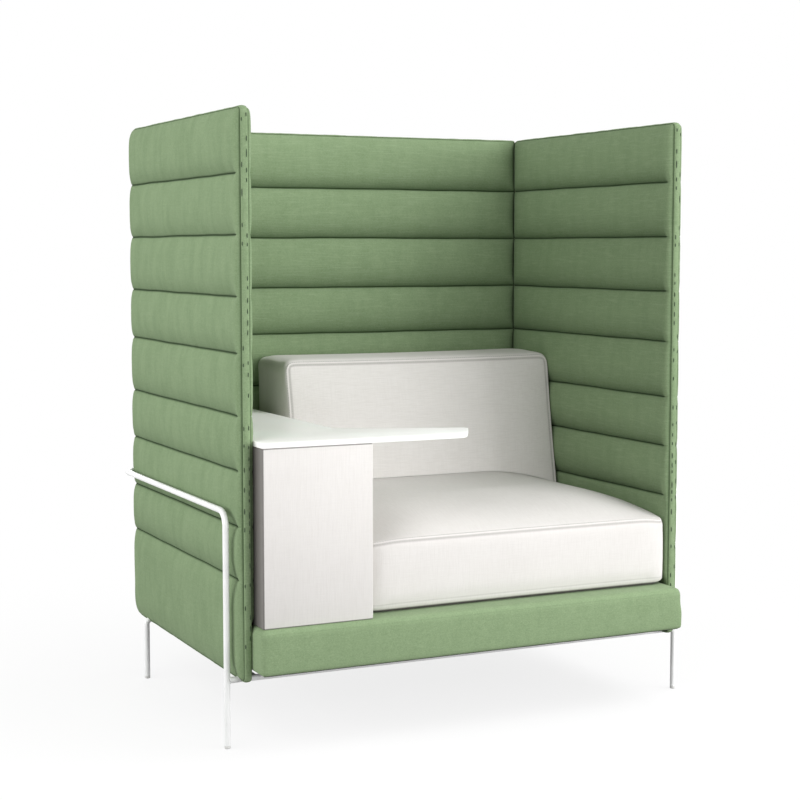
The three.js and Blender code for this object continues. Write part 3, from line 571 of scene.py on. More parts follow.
def corner_inset(radius, level):
    inside = np.clip(radius - level, 0, radius)
    return radius - np.sqrt(radius**2 - inside**2)


def crease_fade(u, from_u, to_u, front, left=0.0):
    """One where a crease is sewn in, falling to what is left of it just before the pad's front edge."""
    if front is None:
        return np.ones_like(u)
    to_front = to_u - u if front else u - from_u
    return left + (1 - left) * smooth(to_front, *CREASE_START)


def channel_rise(u, v, from_u, to_u, height, rolls, front):
    """How full a pad is at a place, from zero at its edges and creases to one along a channel's middle."""
    settings = screens()
    start_roll, end_roll = rolls
    levels = np.array([0, *crease_heights(height), height])
    above = np.clip(np.searchsorted(levels, v, side="right"), 1, len(levels) - 1)
    low, high = levels[above - 1], levels[above]
    half = np.minimum((high - low) / 2, LONGEST_RISE)
    short = 1 - np.clip(np.minimum(v - low, high - v) / half, 0, 1)
    puff = np.sqrt(1 - short**CHANNEL_POWER)
    puff = 1 - (1 - puff) * crease_fade(u, from_u, to_u, front, settings.pinch)
    side = np.minimum(
        np.sin(np.pi / 2 * np.clip((u - from_u) / start_roll, 0, 1)),
        np.sin(np.pi / 2 * np.clip((to_u - u) / end_roll, 0, 1)),
    )
    tip = np.sin(np.pi / 2 * np.clip(np.minimum(v, height - v) / settings.edge_roll, 0, 1))
    return np.minimum(puff, np.minimum(np.clip(side, 0, 1) ** ROLL_POWER, tip**ROLL_POWER))


def pad_edges(v, width, height, corners):
    to_tip = np.minimum(v, height - v)
    return corner_inset(corners[0], to_tip), width - corner_inset(corners[1], to_tip)


def channel_pad(name, width, height, corners, rolls, seed, front, relief, fold_shade):
    """One screen face lying flat: felt over foam, sewn through in channels and puckered along its seams.

    front says at which end of its width the creases stop short, if at one. relief says below which height the
    pad is pressed down, and to what thickness, by what stands against it. fold_shade says how strongly shade
    is painted above a crease.
    """
    settings = screens()
    rows, columns = pad_rows(height), pad_columns(width)
    v = np.repeat(rows, len(columns))
    share = np.tile(columns / width, len(rows))
    from_u, to_u = pad_edges(v, width, height, corners)
    edge_share = np.tile(columns, len(rows))
    u = np.where(share < 0.5, from_u + edge_share, to_u - (width - edge_share))
    centre_pull = smooth(np.minimum(edge_share, width - edge_share), 0.02, 0.2)
    u = u * (1 - centre_pull) + edge_share * centre_pull
    rise = channel_rise(u, v, from_u, to_u, height, rolls, front)
    w = settings.crease_level + settings.channel_crown * rise
    count = len(columns)
    faces = [
        (r * count + c, r * count + c + 1, (r + 1) * count + c + 1, (r + 1) * count + c)
        for r in range(len(rows) - 1)
        for c in range(count - 1)
    ]
    pad = mesh_object(name, np.stack([u, v, w], axis=1), faces)
    creases = np.array(crease_heights(height))
    sewn = np.min(np.abs(v[:, None] - creases[None, :]), axis=1) < 0.002
    border = (edge_share < 0.001) | (edge_share > width - 0.001) | (v < 0.0005) | (v > height - 0.0005)
    inflate(pad, sewn | border, cap=0.0022, frames=12)
    subdivide(pad)
    pucker_pad(pad, width, height, corners, seed, front, fold_shade)
    press_pad(pad, relief)
    close_pad(pad)
    return pad


def pucker_pad(pad, width, height, corners, seed, front, fold_shade):
    """Sharpens the creases, lets their lines wander a little, gathers the felt beside every seam, and paints
    shade along creases, edges, inner corners and above each crease.
    """
    settings = screens()
    points = coordinates(pad)
    u, v, w = points.T
    creases = np.array(crease_heights(height))
    distance = np.abs(v[:, None] - creases[None, :])
    nearest = distance.argmin(axis=1)
    to_crease = distance.min(axis=1)
    from_u, to_u = pad_edges(v, width, height, corners)
    to_edge = np.minimum(np.minimum(u - from_u, to_u - u), np.minimum(v, height - v))
    sewn = crease_fade(u, from_u, to_u, front)
    fade = smooth(to_edge, 0.003, 0.012) * sewn
    depth = np.exp(-((to_crease / DIP_WIDTH) ** 2)) * fade
    gather = np.exp(-to_crease / GATHER_WIDTH) * np.clip(to_crease / 0.003, 0, 1)
    rim = np.exp(-np.clip(to_edge, 0, 1) / RIM_WIDTH) * np.clip(to_edge / 0.002, 0, 1)
    along = noise_at(u * 62, v * 14, seed) + 0.5 * noise_at(u * 150, v * 30, seed + 3)
    upright = noise_at(v * 70, u * 10, seed + 7)
    slack = noise_at(u * 7, v * 12, seed + 11)
    w = w + settings.pucker * 2 * (along * gather + upright * rim) + SLACK * slack * np.clip(w / 0.008, 0, 1)
    w = np.maximum(w - CREASE_DIP * depth, THINNEST)
    shift = np.zeros_like(v)
    for i, _ in enumerate(creases):
        here = nearest == i
        shift[here] = CREASE_WANDER * wander(u[here], 9, seed + i)
    v = v + shift * np.exp(-to_crease / 0.01) * smooth(to_edge, 0.0, 0.02)
    set_coordinates(pad, np.stack([u, v, w], axis=1))
    # Painted shade: dark along each crease and round the pad's edge, and darker still in an inner corner
    seam = np.exp(-((to_crease / SEAM_WIDTH) ** 2)) * smooth(to_edge, 0.0, 0.006) * sewn
    border = np.exp(-((np.clip(to_edge, 0, 1) / BORDER_WIDTH) ** 2)) * 0.85
    for at, to_side in enumerate((u - from_u, to_u - u)):
        if corners[at] == MEETING_CORNER:
            inward = np.clip(to_side, 0, 1)
            border = np.maximum(border, 0.95 * np.exp(-((inward / CORNER_LINE) ** 2)))
            border = np.maximum(border, 0.6 * np.exp(-inward / CORNER_SHADE))
    # Painted shade on the lower part of each channel above a crease, and a little just below it
    above = v - creases[nearest]
    painted_fold_shade = fold_shade * np.where(above > 0, np.exp(-above / FOLD_SHADE_ABOVE), 0.4 * np.exp(above / FOLD_SHADE_BELOW)) * sewn
    paint_seams_and_shade(pad, np.maximum(np.maximum(seam, painted_fold_shade), border))


def press_pad(pad, relief):
    """Presses the pad down where the base, the arm block or a cushion stands against it."""
    points = coordinates(pad)
    for below, limit in relief:
        free = smooth(points[:, 1], below, below + 0.012)
        pressed = np.minimum(points[:, 2], limit)
        points[:, 2] = points[:, 2] * free + pressed * (1 - free)
    set_coordinates(pad, points)


def close_pad(pad):
    """Folds the pad's rim down to its flat back, paints that rim fully dark as shade, and closes the back."""
    form = bmesh.new()
    form.from_mesh(pad.data)
    seam = form.verts.layers.float.get("seam")
    rim = [edge for edge in form.edges if edge.is_boundary]
    made = bmesh.ops.extrude_edge_only(form, edges=rim)["geom"]
    # The folded-down rim is painted fully dark, as shade where the pad meets the band
    for vertex in (item for item in made if isinstance(item, bmesh.types.BMVert)):
        vertex.co.z = 0
        vertex[seam] = 1
    open_edges = [edge for edge in form.edges if edge.is_boundary]
    bmesh.ops.contextual_create(form, geom=open_edges)
    form.to_mesh(pad.data)
    form.free()
    pad.data.update()


def screen_pad(solid, outward, finish, seed, corners, rolls, relief=(), fold_shade=0.7):
    """Makes the felt that stands for a screen's pad, on the flat back of that solid.

    Corners and rolls are given from the front end of a side screen's pad to its rear.
    """
    low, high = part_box(f"{solid}_pad")
    across = UP.cross(outward)
    way = across + outward
    origin = (low.x if way.x > 0 else high.x, low.y if way.y > 0 else high.y, low.z)
    width = high.y - low.y if outward.x else high.x - low.x
    front = (0 if across.y > 0 else 1) if outward.x else None
    if front:
        corners, rolls = corners[::-1], rolls[::-1]
    pad = channel_pad(f"{solid}_felt", width, high.z - low.z, corners, rolls, seed, front, relief, fold_shade)
    axes = np.array([across, UP, outward], float)
    set_coordinates(pad, coordinates(pad) @ axes + np.array(origin, float))
    shade(pad, 60)
    return dress(pad, finishes()[finish], [f"{solid}_pad"])


def band_path(low, high, corners, step=0.006):
    """Points and outward directions round a screen's outline, anticlockwise from the middle of its foot."""
    (x0, z0), (x1, z1) = low, high
    start, end = corners
    runs = [
        ((x1 - end, z0 + end), end, -90, (0, -1)),
        ((x1 - end, z1 - end), end, 0, (1, 0)),
        ((x0 + start, z1 - start), start, 90, (0, 1)),
        ((x0 + start, z0 + start), start, 180, (-1, 0)),
    ]
    points, ways = [], []

    def straight(a, b, way):
        count = max(1, round(math.dist(a, b) / step))
        for i in range(count):
            t = i / count
            points.append((a[0] + (b[0] - a[0]) * t, a[1] + (b[1] - a[1]) * t))
            ways.append(way)

    foot = ((x0 + x1) / 2, z0)
    place = foot
    for centre, radius, angle, way in runs:
        first = math.radians(angle)
        begin = (centre[0] + radius * math.cos(first), centre[1] + radius * math.sin(first))
        straight(place, begin, way)
        bends = max(4, round(radius * math.pi / 2 / step))
        for i in range(bends):
            turn = first + i / bends * math.pi / 2
            ways.append((math.cos(turn), math.sin(turn)))
            points.append((centre[0] + radius * ways[-1][0], centre[1] + radius * ways[-1][1]))
        last = first + math.pi / 2
        place = (centre[0] + radius * math.cos(last), centre[1] + radius * math.sin(last))
    straight(place, foot, (0, -1))
    return np.array(points), np.array(ways)


# A band's section: shares of its half width, and of its crown
BAND_SECTION = (
    (-0.97, -0.45), (-1.1, -0.12), (-1.1, 0.26), (-0.93, 0.62), (-0.6, 0.88), (-0.2, 0.99), (0.2, 0.99),
    (0.6, 0.88), (0.93, 0.62), (1.1, 0.26), (1.1, -0.12), (0.97, -0.45),
)


def edge_band(solid, path, ways, half_width, place, closed, seed):
    """The felt strip of one solid band, swept along a screen's edge with a sewn valley on each side."""
    crown = screens().band_crown
    section = np.array(BAND_SECTION)
    length = np.concatenate([[0], np.cumsum(np.linalg.norm(np.diff(path, axis=0), axis=1))])
    swell = wander(length, 24, seed) * 0.0006 + wander(length, 70, seed + 5) * 0.0003
    sway = wander(length, 18, seed + 9) * 0.0004
    rings = []
    for i in range(len(path)):
        off = section[:, 1] * (crown + swell[i]) * (1 - 0.25 * max(0.0, ways[i][1]))
        side = section[:, 0] * half_width + sway[i] * (1 - section[:, 0] ** 2)
        flat = path[i][None, :] + ways[i][None, :] * off[:, None]
        rings.append(np.column_stack([flat[:, 0], side, flat[:, 1]]))
    count = len(section)
    total = len(path)
    faces = []
    for i in range(total if closed else total - 1):
        j = (i + 1) % total
        for k in range(count):
            m = (k + 1) % count
            faces.append((i * count + k, i * count + m, j * count + m, j * count + k))
    if not closed:
        faces.append(tuple(range(count - 1, -1, -1)))
        faces.append(tuple(range((total - 1) * count, total * count)))
    band = mesh_object(f"{solid.replace('_screen', '')}_felt", place(np.concatenate(rings)), faces)
    # Painted shade: the band's sides below its crown, where they sink into the valleys beside the pads, are
    # nearly fully dark
    paint_seams_and_shade(band, np.tile(np.where(section[:, 1] < 0, 0.95, 0.0), total))
    form = bmesh.new()
    form.from_mesh(band.data)
    bmesh.ops.recalc_face_normals(form, faces=form.faces)
    form.to_mesh(band.data)
    form.free()
    subdivide(band)
    shade(band, 60)
    return dress(band, finishes()["band"], [solid])


def stitch_form():
    """One stitch: a short thread, pointed into the cloth at both ends, lying along X."""
    stitch = start_piece(
        "stitch", bpy.ops.mesh.primitive_uv_sphere_add, segments=6, ring_count=6, radius=0.5,
        rotation=(0, math.pi / 2, 0),
    )
    points = coordinates(stitch)
    faces = [tuple(face.vertices) for face in stitch.data.polygons]
    bpy.data.objects.remove(stitch)
    return points, faces


def stitch_row(name, line, surface, size, slot, closed=False, uneven=0.0):
    """Stitches along a line, each laid on the nearest place of the surface that it is sewn into.

    size is a stitch's length, pitch and thickness; uneven says by what share lengths and places wander, and
    where they wander shortest a stitch is left out.
    """
    length, pitch, thickness = size
    tree = BVHTree.FromObject(surface, bpy.context.evaluated_depsgraph_get())
    line = np.asarray(line, float)
    if closed:
        line = np.vstack([line, line[:1]])
    along = np.concatenate([[0], np.cumsum(np.linalg.norm(np.diff(line, axis=0), axis=1))])
    count = int(along[-1] // pitch)
    form, form_faces = stitch_form()
    points, faces = [], []
    for i in range(count):
        drift = noise.noise(Vector((i * 1.37, len(line) * 0.11, 0.5))) * 2 * uneven
        if drift < -0.2 * uneven:
            continue
        middle = (i + 0.5 + 0.5 * drift) * pitch
        half = length / 2 * (1 + drift)
        laid = []
        for at in (middle - half, middle + half):
            end = Vector([np.interp(at, along, line[:, axis]) for axis in range(3)])
            laid.append(tree.find_nearest(end)[:2])
        way = (laid[1][0] - laid[0][0]).normalized()
        normal = (laid[0][1] + laid[1][1]).normalized()
        side = normal.cross(way).normalized()
        normal = way.cross(side)
        centre = (laid[0][0] + laid[1][0]) / 2 + normal * thickness * 0.15
        axes = np.array([way * length * (1 + drift), side * thickness, normal * thickness])
        faces += [tuple(k + len(points) * len(form) for k in face) for face in form_faces]
        points.append(form @ axes + np.array(centre))
    row = mesh_object(name, np.concatenate(points), faces)
    shade(row)
    dress(row, finishes()["pale thread" if slot == "pale_fabric" else "thread"])


def gap_to(name, face, axis):
    """How thick a pad may be, from the plane of its back, before it reaches a solid of the frame."""
    low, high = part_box(name)
    return min(abs(face - low[axis]), abs(face - high[axis]))


# How far the seat cushion presses into the right screen's pad, and up to what height, in metres
SEAT_PRESS = 0.0025
SEAT_PRESS_TOP = 0.48
# Up to what height the back cushion presses the back screen's pad
BACK_PRESS_TOP = 0.79
# What a pressed pad keeps clear of the base, and of anything else
BASE_CLEARANCE = 0.0004
CLEARANCE = 0.0003


def side_relief(side):
    """Where the base and the block or seat press a side screen's inner pad, by height above its foot."""
    low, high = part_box(f"{SIDES[side]}_screen_inner_pad")
    if side < 0:
        face, neighbour, top, press = low.x, "block_cover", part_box("worktop")[1].z, 0.0
    else:
        face, neighbour, top, press = high.x, "seat_cushion", SEAT_PRESS_TOP, SEAT_PRESS
    return (
        (top - low.z, gap_to(neighbour, face, 0) - CLEARANCE - press),
        (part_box("base_cover")[1].z - low.z, gap_to("base_cover", face, 0) - BASE_CLEARANCE),
    )


# What lies open at each end of a bottom band, where a cross tube passes the screen
TUBE_SLOT = 0.0146
# How far inside a side screen's edge the pad's border is stitched
BORDER_INSET = 0.0085
# How far the back screen's band keeps inside the side screens
BAND_INSET = 0.0045


def side_screen(side):
    """Both felt faces and the edge bands of one side screen; side is -1 at the left and 1 at the right."""
    word, settings = SIDES[side], screens()
    plain, meeting = settings.edge_roll, settings.meeting_roll
    outer = screen_pad(
        f"{word}_screen_outer", RIGHT * side, "felt", 11 + side, (FRONT_CORNER, REAR_CORNER), (plain, plain),
        fold_shade=0.3,
    )
    screen_pad(
        f"{word}_screen_inner", -RIGHT * side, "inner felt", 31 + side, (FRONT_CORNER, MEETING_CORNER),
        (plain, meeting), side_relief(side),
    )

    low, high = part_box(f"{word}_screen_outer_pad")
    inner_low, inner_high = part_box(f"{word}_screen_inner_pad")
    outer_x, inner_x = (low.x, inner_high.x) if side > 0 else (high.x, inner_low.x)
    middle = (outer_x + inner_x) / 2
    half = abs(outer_x - inner_x) / 2 + settings.crease_level
    path, ways = band_path((low.y, low.z), (high.y, high.z), (FRONT_CORNER, REAR_CORNER))

    def place(points):
        return np.column_stack([middle + points[:, 1], points[:, 0], points[:, 2]])

    foot_low, foot_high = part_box(f"{word}_screen_bottom_band")
    along, at_foot = path[:, 0], path[:, 1] < low.z + 0.001
    under = at_foot & (along > foot_low.y) & (along < foot_high.y)
    rest = ~(at_foot & (along > foot_low.y - TUBE_SLOT) & (along < foot_high.y + TUBE_SLOT))
    order = np.argsort(along[under])
    foot_path, foot_ways = path[under][order], ways[under][order]
    path, ways = path[rest], ways[rest]
    edge_band(f"{word}_screen_bottom_band", foot_path, foot_ways, half, place, False, 5 + side)
    band = edge_band(f"{word}_screen_edge_band", path, ways, half, place, False, 8 + side)

    def line_at(share, points):
        return place(np.column_stack([points[:, 0], np.full(len(points), share * side * half), points[:, 1]]))

    shown = path + ways * 0.004
    upright = np.abs(ways[:, 1]) < 0.5
    # On the side towards the seat stitches are close, on the outer one sparse
    for share, label, sparse in ((-0.5, "inner", 1.0), (0.95, "outer", 1.9)):
        line = line_at(share, shown)
        size = (settings.stitch_length, sparse * settings.stitch_pitch, BAND_THREAD)
        for edge, here in (("front", shown[:, 0] < 0), ("rear", shown[:, 0] > 0)):
            name = f"{word}_{edge}_{label}_band_stitches"
            stitch_row(name, line[upright & here], band, size, "green_band", uneven=0.9)
    border = line_at(1.0, path - ways * BORDER_INSET)
    stitch_row(f"{word}_outer_pad_stitches", border, outer, PAD_STITCH, "green_felt", uneven=0.5)


def back_screen():
    """The back screen's felt faces and its band."""
    settings = screens()
    plain, meeting = settings.edge_roll, settings.meeting_roll
    corners = (MEETING_CORNER, MEETING_CORNER)
    low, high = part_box("back_screen_outer_pad")
    inner_low, inner_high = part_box("back_screen_inner_pad")
    relief = ((BACK_PRESS_TOP - inner_low.z, gap_to("back_cushion", inner_high.y, 1) - CLEARANCE),)
    screen_pad("back_screen_inner", -BACK, "inner felt", 51, corners, (meeting, meeting), relief)
    screen_pad("back_screen_outer", BACK, "felt", 61, corners, (plain, plain))
    middle = (inner_high.y + low.y) / 2
    half = (low.y - inner_high.y) / 2 + settings.crease_level
    path, ways = band_path((low.x, low.z), (high.x, high.z), corners)

    def place(points):
        return np.column_stack([points[:, 0], middle + points[:, 1], points[:, 2]])

    inside = np.clip(path, [low.x + BAND_INSET, 0], [high.x - BAND_INSET, 2])
    edge_band("back_screen_edge_band", inside, ways, half, place, True, 14)


# Cushions and base


def box_shell(xs, ys, zs):
    """The surface of a box as points and outward faces, with grid lines where xs, ys and zs say."""
    places, points, faces = {}, [], []
    far = (len(xs) - 1, len(ys) - 1, len(zs) - 1)

    def at(i, j, k):
        if (i, j, k) not in places:
            places[i, j, k] = len(points)
            points.append((xs[i], ys[j], zs[k]))
        return places[i, j, k]

    for i in range(far[0]):
        for j in range(far[1]):
            faces.append((at(i, j, 0), at(i, j + 1, 0), at(i + 1, j + 1, 0), at(i + 1, j, 0)))
            k = far[2]
            faces.append((at(i, j, k), at(i + 1, j, k), at(i + 1, j + 1, k), at(i, j + 1, k)))
    for i in range(far[0]):
        for k in range(far[2]):
            faces.append((at(i, 0, k), at(i + 1, 0, k), at(i + 1, 0, k + 1), at(i, 0, k + 1)))
            j = far[1]
            faces.append((at(i, j, k), at(i, j, k + 1), at(i + 1, j, k + 1), at(i + 1, j, k)))
    for j in range(far[1]):
        for k in range(far[2]):
            faces.append((at(0, j, k), at(0, j, k + 1), at(0, j + 1, k + 1), at(0, j + 1, k)))
            i = far[0]
            faces.append((at(i, j, k), at(i, j + 1, k), at(i, j + 1, k + 1), at(i, j, k + 1)))
    return places, np.array(points, float), faces


def grid_lines(length, edges, spacing):
    """Places along a length from its middle: edges from each end, and even steps between."""
    half = length / 2
    count = max(2, round((length - 2 * edges[-1]) / spacing))
    inner = np.linspace(-half + edges[-1], half - edges[-1], count + 1)[1:-1]
    return [-half, *(-half + e for e in edges), *inner, *(half - e for e in reversed(edges)), half]


def ring_keys(places, far, inset, level):
    """The points of one ring round a shell: inset lines in on its top, or level lines below its top edge."""
    low, high_i, high_j = inset, far[0] - inset, far[1] - inset
    k = far[2] - level
    keys = [(i, low, k) for i in range(low, high_i)]
    keys += [(high_i, j, k) for j in range(low, high_j)]
    keys += [(i, high_j, k) for i in range(high_i, low, -1)]
    keys += [(low, j, k) for j in range(high_j, low, -1)]
    return [places[key] for key in keys]


class CushionShape:
    """A box cushion: flat underneath, bulged round its sides, with a seam and a crowned face above it.

    seam_level gives the seam's height over places of its plan. In metres, corner and foot_corner are the
    plan's radii at its far and near side, draw_in is how hollow its outline is, roll its foot's radius, bulge
    how full its sides are, seam_inset how far the seam is drawn in, and crown how high the face stands.
    """

    def __init__(
        self, width, depth, seam_level, corner, draw_in, roll, bulge, seam_inset, crown, foot_corner=None
    ):
        self.half = (width / 2, depth / 2)
        self.seam_level = seam_level
        self.corner, self.draw_in, self.roll = corner, draw_in, roll
        self.bulge, self.seam_inset, self.crown = bulge, seam_inset, crown
        self.foot_corner = foot_corner or corner
        xs, ys = grid_lines(width, EDGE_LINES, LINE_SPACING), grid_lines(depth, EDGE_LINES, LINE_SPACING)
        tall = float(np.mean(seam_level(np.zeros(1), np.zeros(1))))
        self.height = tall
        steps = [0, 0.003, 0.007, 0.012, 0.016, 0.018, 0.02]
        rise = np.linspace(0.02, tall - 0.013, max(3, round((tall - 0.033) / LINE_SPACING)) + 1)[1:-1]
        heights = [*steps, *rise, *(tall - e for e in (0.013, 0.008, 0.004, 0.0015)), tall]
        self.places, self.grid, self.faces = box_shell(xs, ys, [h / tall for h in heights])
        self.far = (len(xs) - 1, len(ys) - 1, len(heights) - 1)
        self.top = self.grid[:, 2] > 1 - 1e-6
        self.seam = ring_keys(self.places, self.far, 0, 0)

    def points(self):
        x, y, t = self.grid.T.copy()
        half_x, half_y = self.half
        corner = np.where(y < 0, self.foot_corner, self.corner)
        core_x = np.clip(x, -(half_x - corner), half_x - corner)
        core_y = np.clip(y, -(half_y - corner), half_y - corner)
        dx, dy = x - core_x, y - core_y
        reach = np.hypot(dx, dy)
        pull = np.where(reach > 0, np.maximum(abs(dx), abs(dy)) / np.where(reach > 0, reach, 1), 1)
        px, py = core_x + dx * pull, core_y + dy * pull
        level = self.seam_level(px, py)
        high = t * level
        short = np.clip(self.roll - high, 0, self.roll)
        inset = self.roll - np.sqrt(np.clip(self.roll**2 - short**2, 0, None))
        inset = inset - self.bulge * np.sin(np.pi * np.clip(t, 0, 1)) ** 0.8
        inset = inset + self.seam_inset * smooth(t, 1 - 0.014 / float(level.mean()), 1)
        px -= self.draw_in * np.sin(np.pi * (y + half_y) / (2 * half_y)) * x / half_x
        py -= self.draw_in * np.sin(np.pi * (x + half_x) / (2 * half_x)) * y / half_y
        px *= 1 - inset / half_x
        py *= 1 - inset / half_y
        power = 7
        outward = (abs(x / half_x) ** power + abs(y / half_y) ** power) ** (1 / power)
        share = np.clip(1 - outward, 0, 1)
        dome = np.sin(np.pi / 2 * np.clip(share / 0.5, 0, 1))
        high = np.where(self.top, level + self.crown * dome, high)
        return np.stack([px, py, high], axis=1)


def sewn_cushion(name, shape, cap, place, second_seam):
    """Builds a cushion, fills it, sews in its double seam, paints its seams and shade, and places it; returns
    it and its seam lines.

    second_seam says how many lines in on the face, and down its side, the second row of the seam runs.
    """
    piece = mesh_object(name, shape.points(), shape.faces)
    sewn = np.zeros(len(shape.grid), bool)
    sewn[shape.seam] = True
    sewn |= shape.grid[:, 2] < 1e-6
    inflate(piece, sewn, np.where(shape.top, cap, 0.3 * cap))
    points, out = coordinates(piece), coordinates(piece, "normal")
    second = ring_keys(shape.places, shape.far, *second_seam)
    seam = np.zeros(len(points))
    # The seam rows are sunk in and painted dark: partly the seam's own line, partly painted shade in its
    # groove
    for ring, share in ((shape.seam, 1.0), (second, 0.6)):
        points[ring] -= out[ring] * cushions().seam_depth * share
        seam[ring] = 0.8 * share
    set_coordinates(piece, place(points))
    heights = shape.grid[:, 2] * shape.height
    # Painted shade: fully dark round the foot where the cushion meets what it stands on, and a faint painted
    # line 18 mm up for a lower seam and its shade
    seam[(heights < 0.0045) & ~shape.top] = 1.0
    seam[(np.abs(heights - 0.018) < 0.001) & ~shape.top] = 0.22
    paint_seams_and_shade(piece, seam)
    lines = {key: coordinates(piece)[ring] for key, ring in (("upper", shape.seam), ("lower", second))}
    subdivide(piece)
    shade(piece)
    return piece, lines


# Height of the seat's seam at its front and along its sides, in metres, and over what share of the seat it
# rises from the one to the other
SEAT_SEAM_FRONT = 0.446
SEAT_SEAM_SIDE = 0.463
SEAT_SEAM_RUN = 0.32
# The back cushion in metres: the height of its foot, its depth half way up, how much deeper its foot is than
# its head, above what height its seam is stitched, and below what height its points are lifted off the seat
BACK_FOOT = 0.455
BACK_DEPTH = 0.2
BACK_LEAN = 0.06
BACK_SEAM_FOOT = 0.51
BACK_REST_TOP = 0.53


def seat_cushion():
    """The seat's linen: a seam that dips at its front corners, under a high crown."""
    low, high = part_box("seat_cushion")
    high.x += SEAT_PRESS
    bulge = 0.003
    width, depth = high.x - low.x - 2 * bulge, high.y - low.y - 2 * bulge
    front, side = SEAT_SEAM_FRONT - low.z, SEAT_SEAM_SIDE - low.z

    def level(x, y):
        forward = smooth((y + depth / 2) / depth, 0, SEAT_SEAM_RUN)
        dip = 0.006 * np.exp(-((x + width / 2) / 0.05) ** 2) * (1 - forward)
        dip += 0.007 * np.exp(-((x - width / 2) / 0.045) ** 2) * np.exp(-((y + depth / 2) / 0.05) ** 2)
        return front + (side - front) * forward - dip

    shape = CushionShape(
        width, depth, level, corner=0.03, draw_in=0.003, roll=0.013, bulge=bulge, seam_inset=0.003,
        crown=cushions().seat_crown,
    )
    middle = np.array([(low.x + high.x) / 2, (low.y + high.y) / 2, low.z])
    piece, lines = sewn_cushion("seat_linen", shape, 0.009, lambda points: points + middle, (0, 3))
    points = coordinates(piece)
    points = np.clip(points, np.array(low) - [0.0002, 0.002, 0], np.array(high) + [0.0002, 0.0002, 0.004])
    set_coordinates(piece, points)
    dress(piece, finishes()["seat linen"], ["seat_cushion"])
    for key, line in lines.items():
        stitch_row(f"seat_{key}_stitches", line, piece, CUSHION_STITCH, "pale_fabric", closed=True)
    return piece


def back_cushion(seat):
    """The back cushion's linen: a wedge that stands on the seat, with shade painted on its left side."""
    low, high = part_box("back_cushion")
    bulge = 0.005
    low.x += 0.002
    high.x += 0.004
    width = high.x - low.x - 2 * bulge
    tall = high.z - BACK_FOOT - bulge

    def level(x, y):
        return BACK_DEPTH + BACK_LEAN * (0.5 - y / tall)

    shape = CushionShape(
        width, tall, level, corner=0.024, draw_in=0.002, roll=0.014, bulge=bulge, seam_inset=0.0025,
        crown=cushions().back_crown, foot_corner=0.008,
    )
    middle = np.array([(low.x + high.x) / 2, high.y, BACK_FOOT + tall / 2])

    def place(points):
        return np.column_stack([middle[0] + points[:, 0], middle[1] - points[:, 2], middle[2] + points[:, 1]])

    piece, lines = sewn_cushion("back_linen", shape, 0.009, place, (3, 0))
    points = coordinates(piece)
    tree = BVHTree.FromObject(seat, bpy.context.evaluated_depsgraph_get())
    for i in np.flatnonzero(points[:, 2] < BACK_REST_TOP):
        hit = tree.ray_cast(Vector((points[i, 0], points[i, 1], 0.7)), -UP)[0]
        if hit is not None and points[i, 2] < hit.z + 0.001:
            points[i, 2] = hit.z + 0.001
    points[:, 1] = np.minimum(points[:, 1], high.y)
    set_coordinates(piece, points)
    seam = np.zeros(len(points), np.float32)
    piece.data.attributes["seam"].data.foreach_get("value", seam)
    # Painted shade on the left side, growing towards the rear
    left_side_shade = 0.58 * smooth(-coordinates(piece, "normal")[:, 0], 0.5, 0.95) * smooth(points[:, 1], 0.12, 0.3)
    paint_seams_and_shade(piece, np.maximum(seam, left_side_shade))
    dress(piece, finishes()["level linen"], ["back_cushion"])
    for key, line in lines.items():
        line = line[line[:, 2] > BACK_SEAM_FOOT]
        stitch_row(f"back_{key}_stitches", line, piece, CUSHION_STITCH, "pale_fabric")


def base_cover():
    """The seat base's felt: rounded edges, a slightly full front and a seam just below its top edge."""
    low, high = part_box("base_cover")
    low.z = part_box("base_under_cloth")[1].z
    size = high - low
    top_roll, foot_roll = 0.017, 0.0085
    edges = (0.003, 0.008, 0.014, 0.022)
    xs, ys = grid_lines(size.x, edges, 0.02), grid_lines(size.y, edges, 0.02)
    seam_level = size.z - 0.0105
    zs = [0, 0.003, 0.007, 0.012, 0.018, 0.03, 0.045, 0.06, 0.075, 0.084, seam_level - 0.002, seam_level]
    zs += [seam_level + 0.002, size.z - 0.005, size.z - 0.002, size.z]
    _, grid, faces = box_shell(xs, ys, zs)
    half = np.array([size.x / 2, size.y / 2, size.z / 2])
    points = grid - [0, 0, half[2]]
    roll = np.where(points[:, 2] > 0, top_roll, foot_roll)[:, None]
    core = np.clip(points, -(half - roll), half - roll)
    out = points - core
    reach = np.linalg.norm(out, axis=1, keepdims=True)
    farthest = np.abs(out).max(axis=1, keepdims=True)
    points = core + out * np.divide(farthest, reach, out=np.ones_like(reach), where=reach > 0)
    upright = 1 - (np.abs(points[:, 2]) / half[2]) ** 2
    swell = (0.0022 + 0.0012 * noise_at(points[:, 0] * 6, points[:, 1] * 6, 3)) * np.clip(upright, 0, 1)
    points[:, 1] -= swell * (grid[:, 1] < 1e-6 - half[1])
    seam = np.zeros(len(points))
    on_side = (np.abs(grid[:, :2]) > half[:2] - 1e-6).any(axis=1)
    here = on_side & (np.abs(grid[:, 2] - seam_level) < 1e-6)
    # The seam line is painted faintly dark: partly its own line, partly painted shade in its groove
    seam[here] = 0.12
    way = core[here] - points[here]
    points[here] += 0.0004 * way / np.maximum(np.linalg.norm(way, axis=1, keepdims=True), 1e-9)
    middle = (low + high) / 2
    piece = mesh_object("base_felt", points + np.array(middle), faces)
    paint_seams_and_shade(piece, seam)
    subdivide(piece)
    shade(piece)
    dress(piece, finishes()["base"], ["base_cover"])


# Arm block and worktop


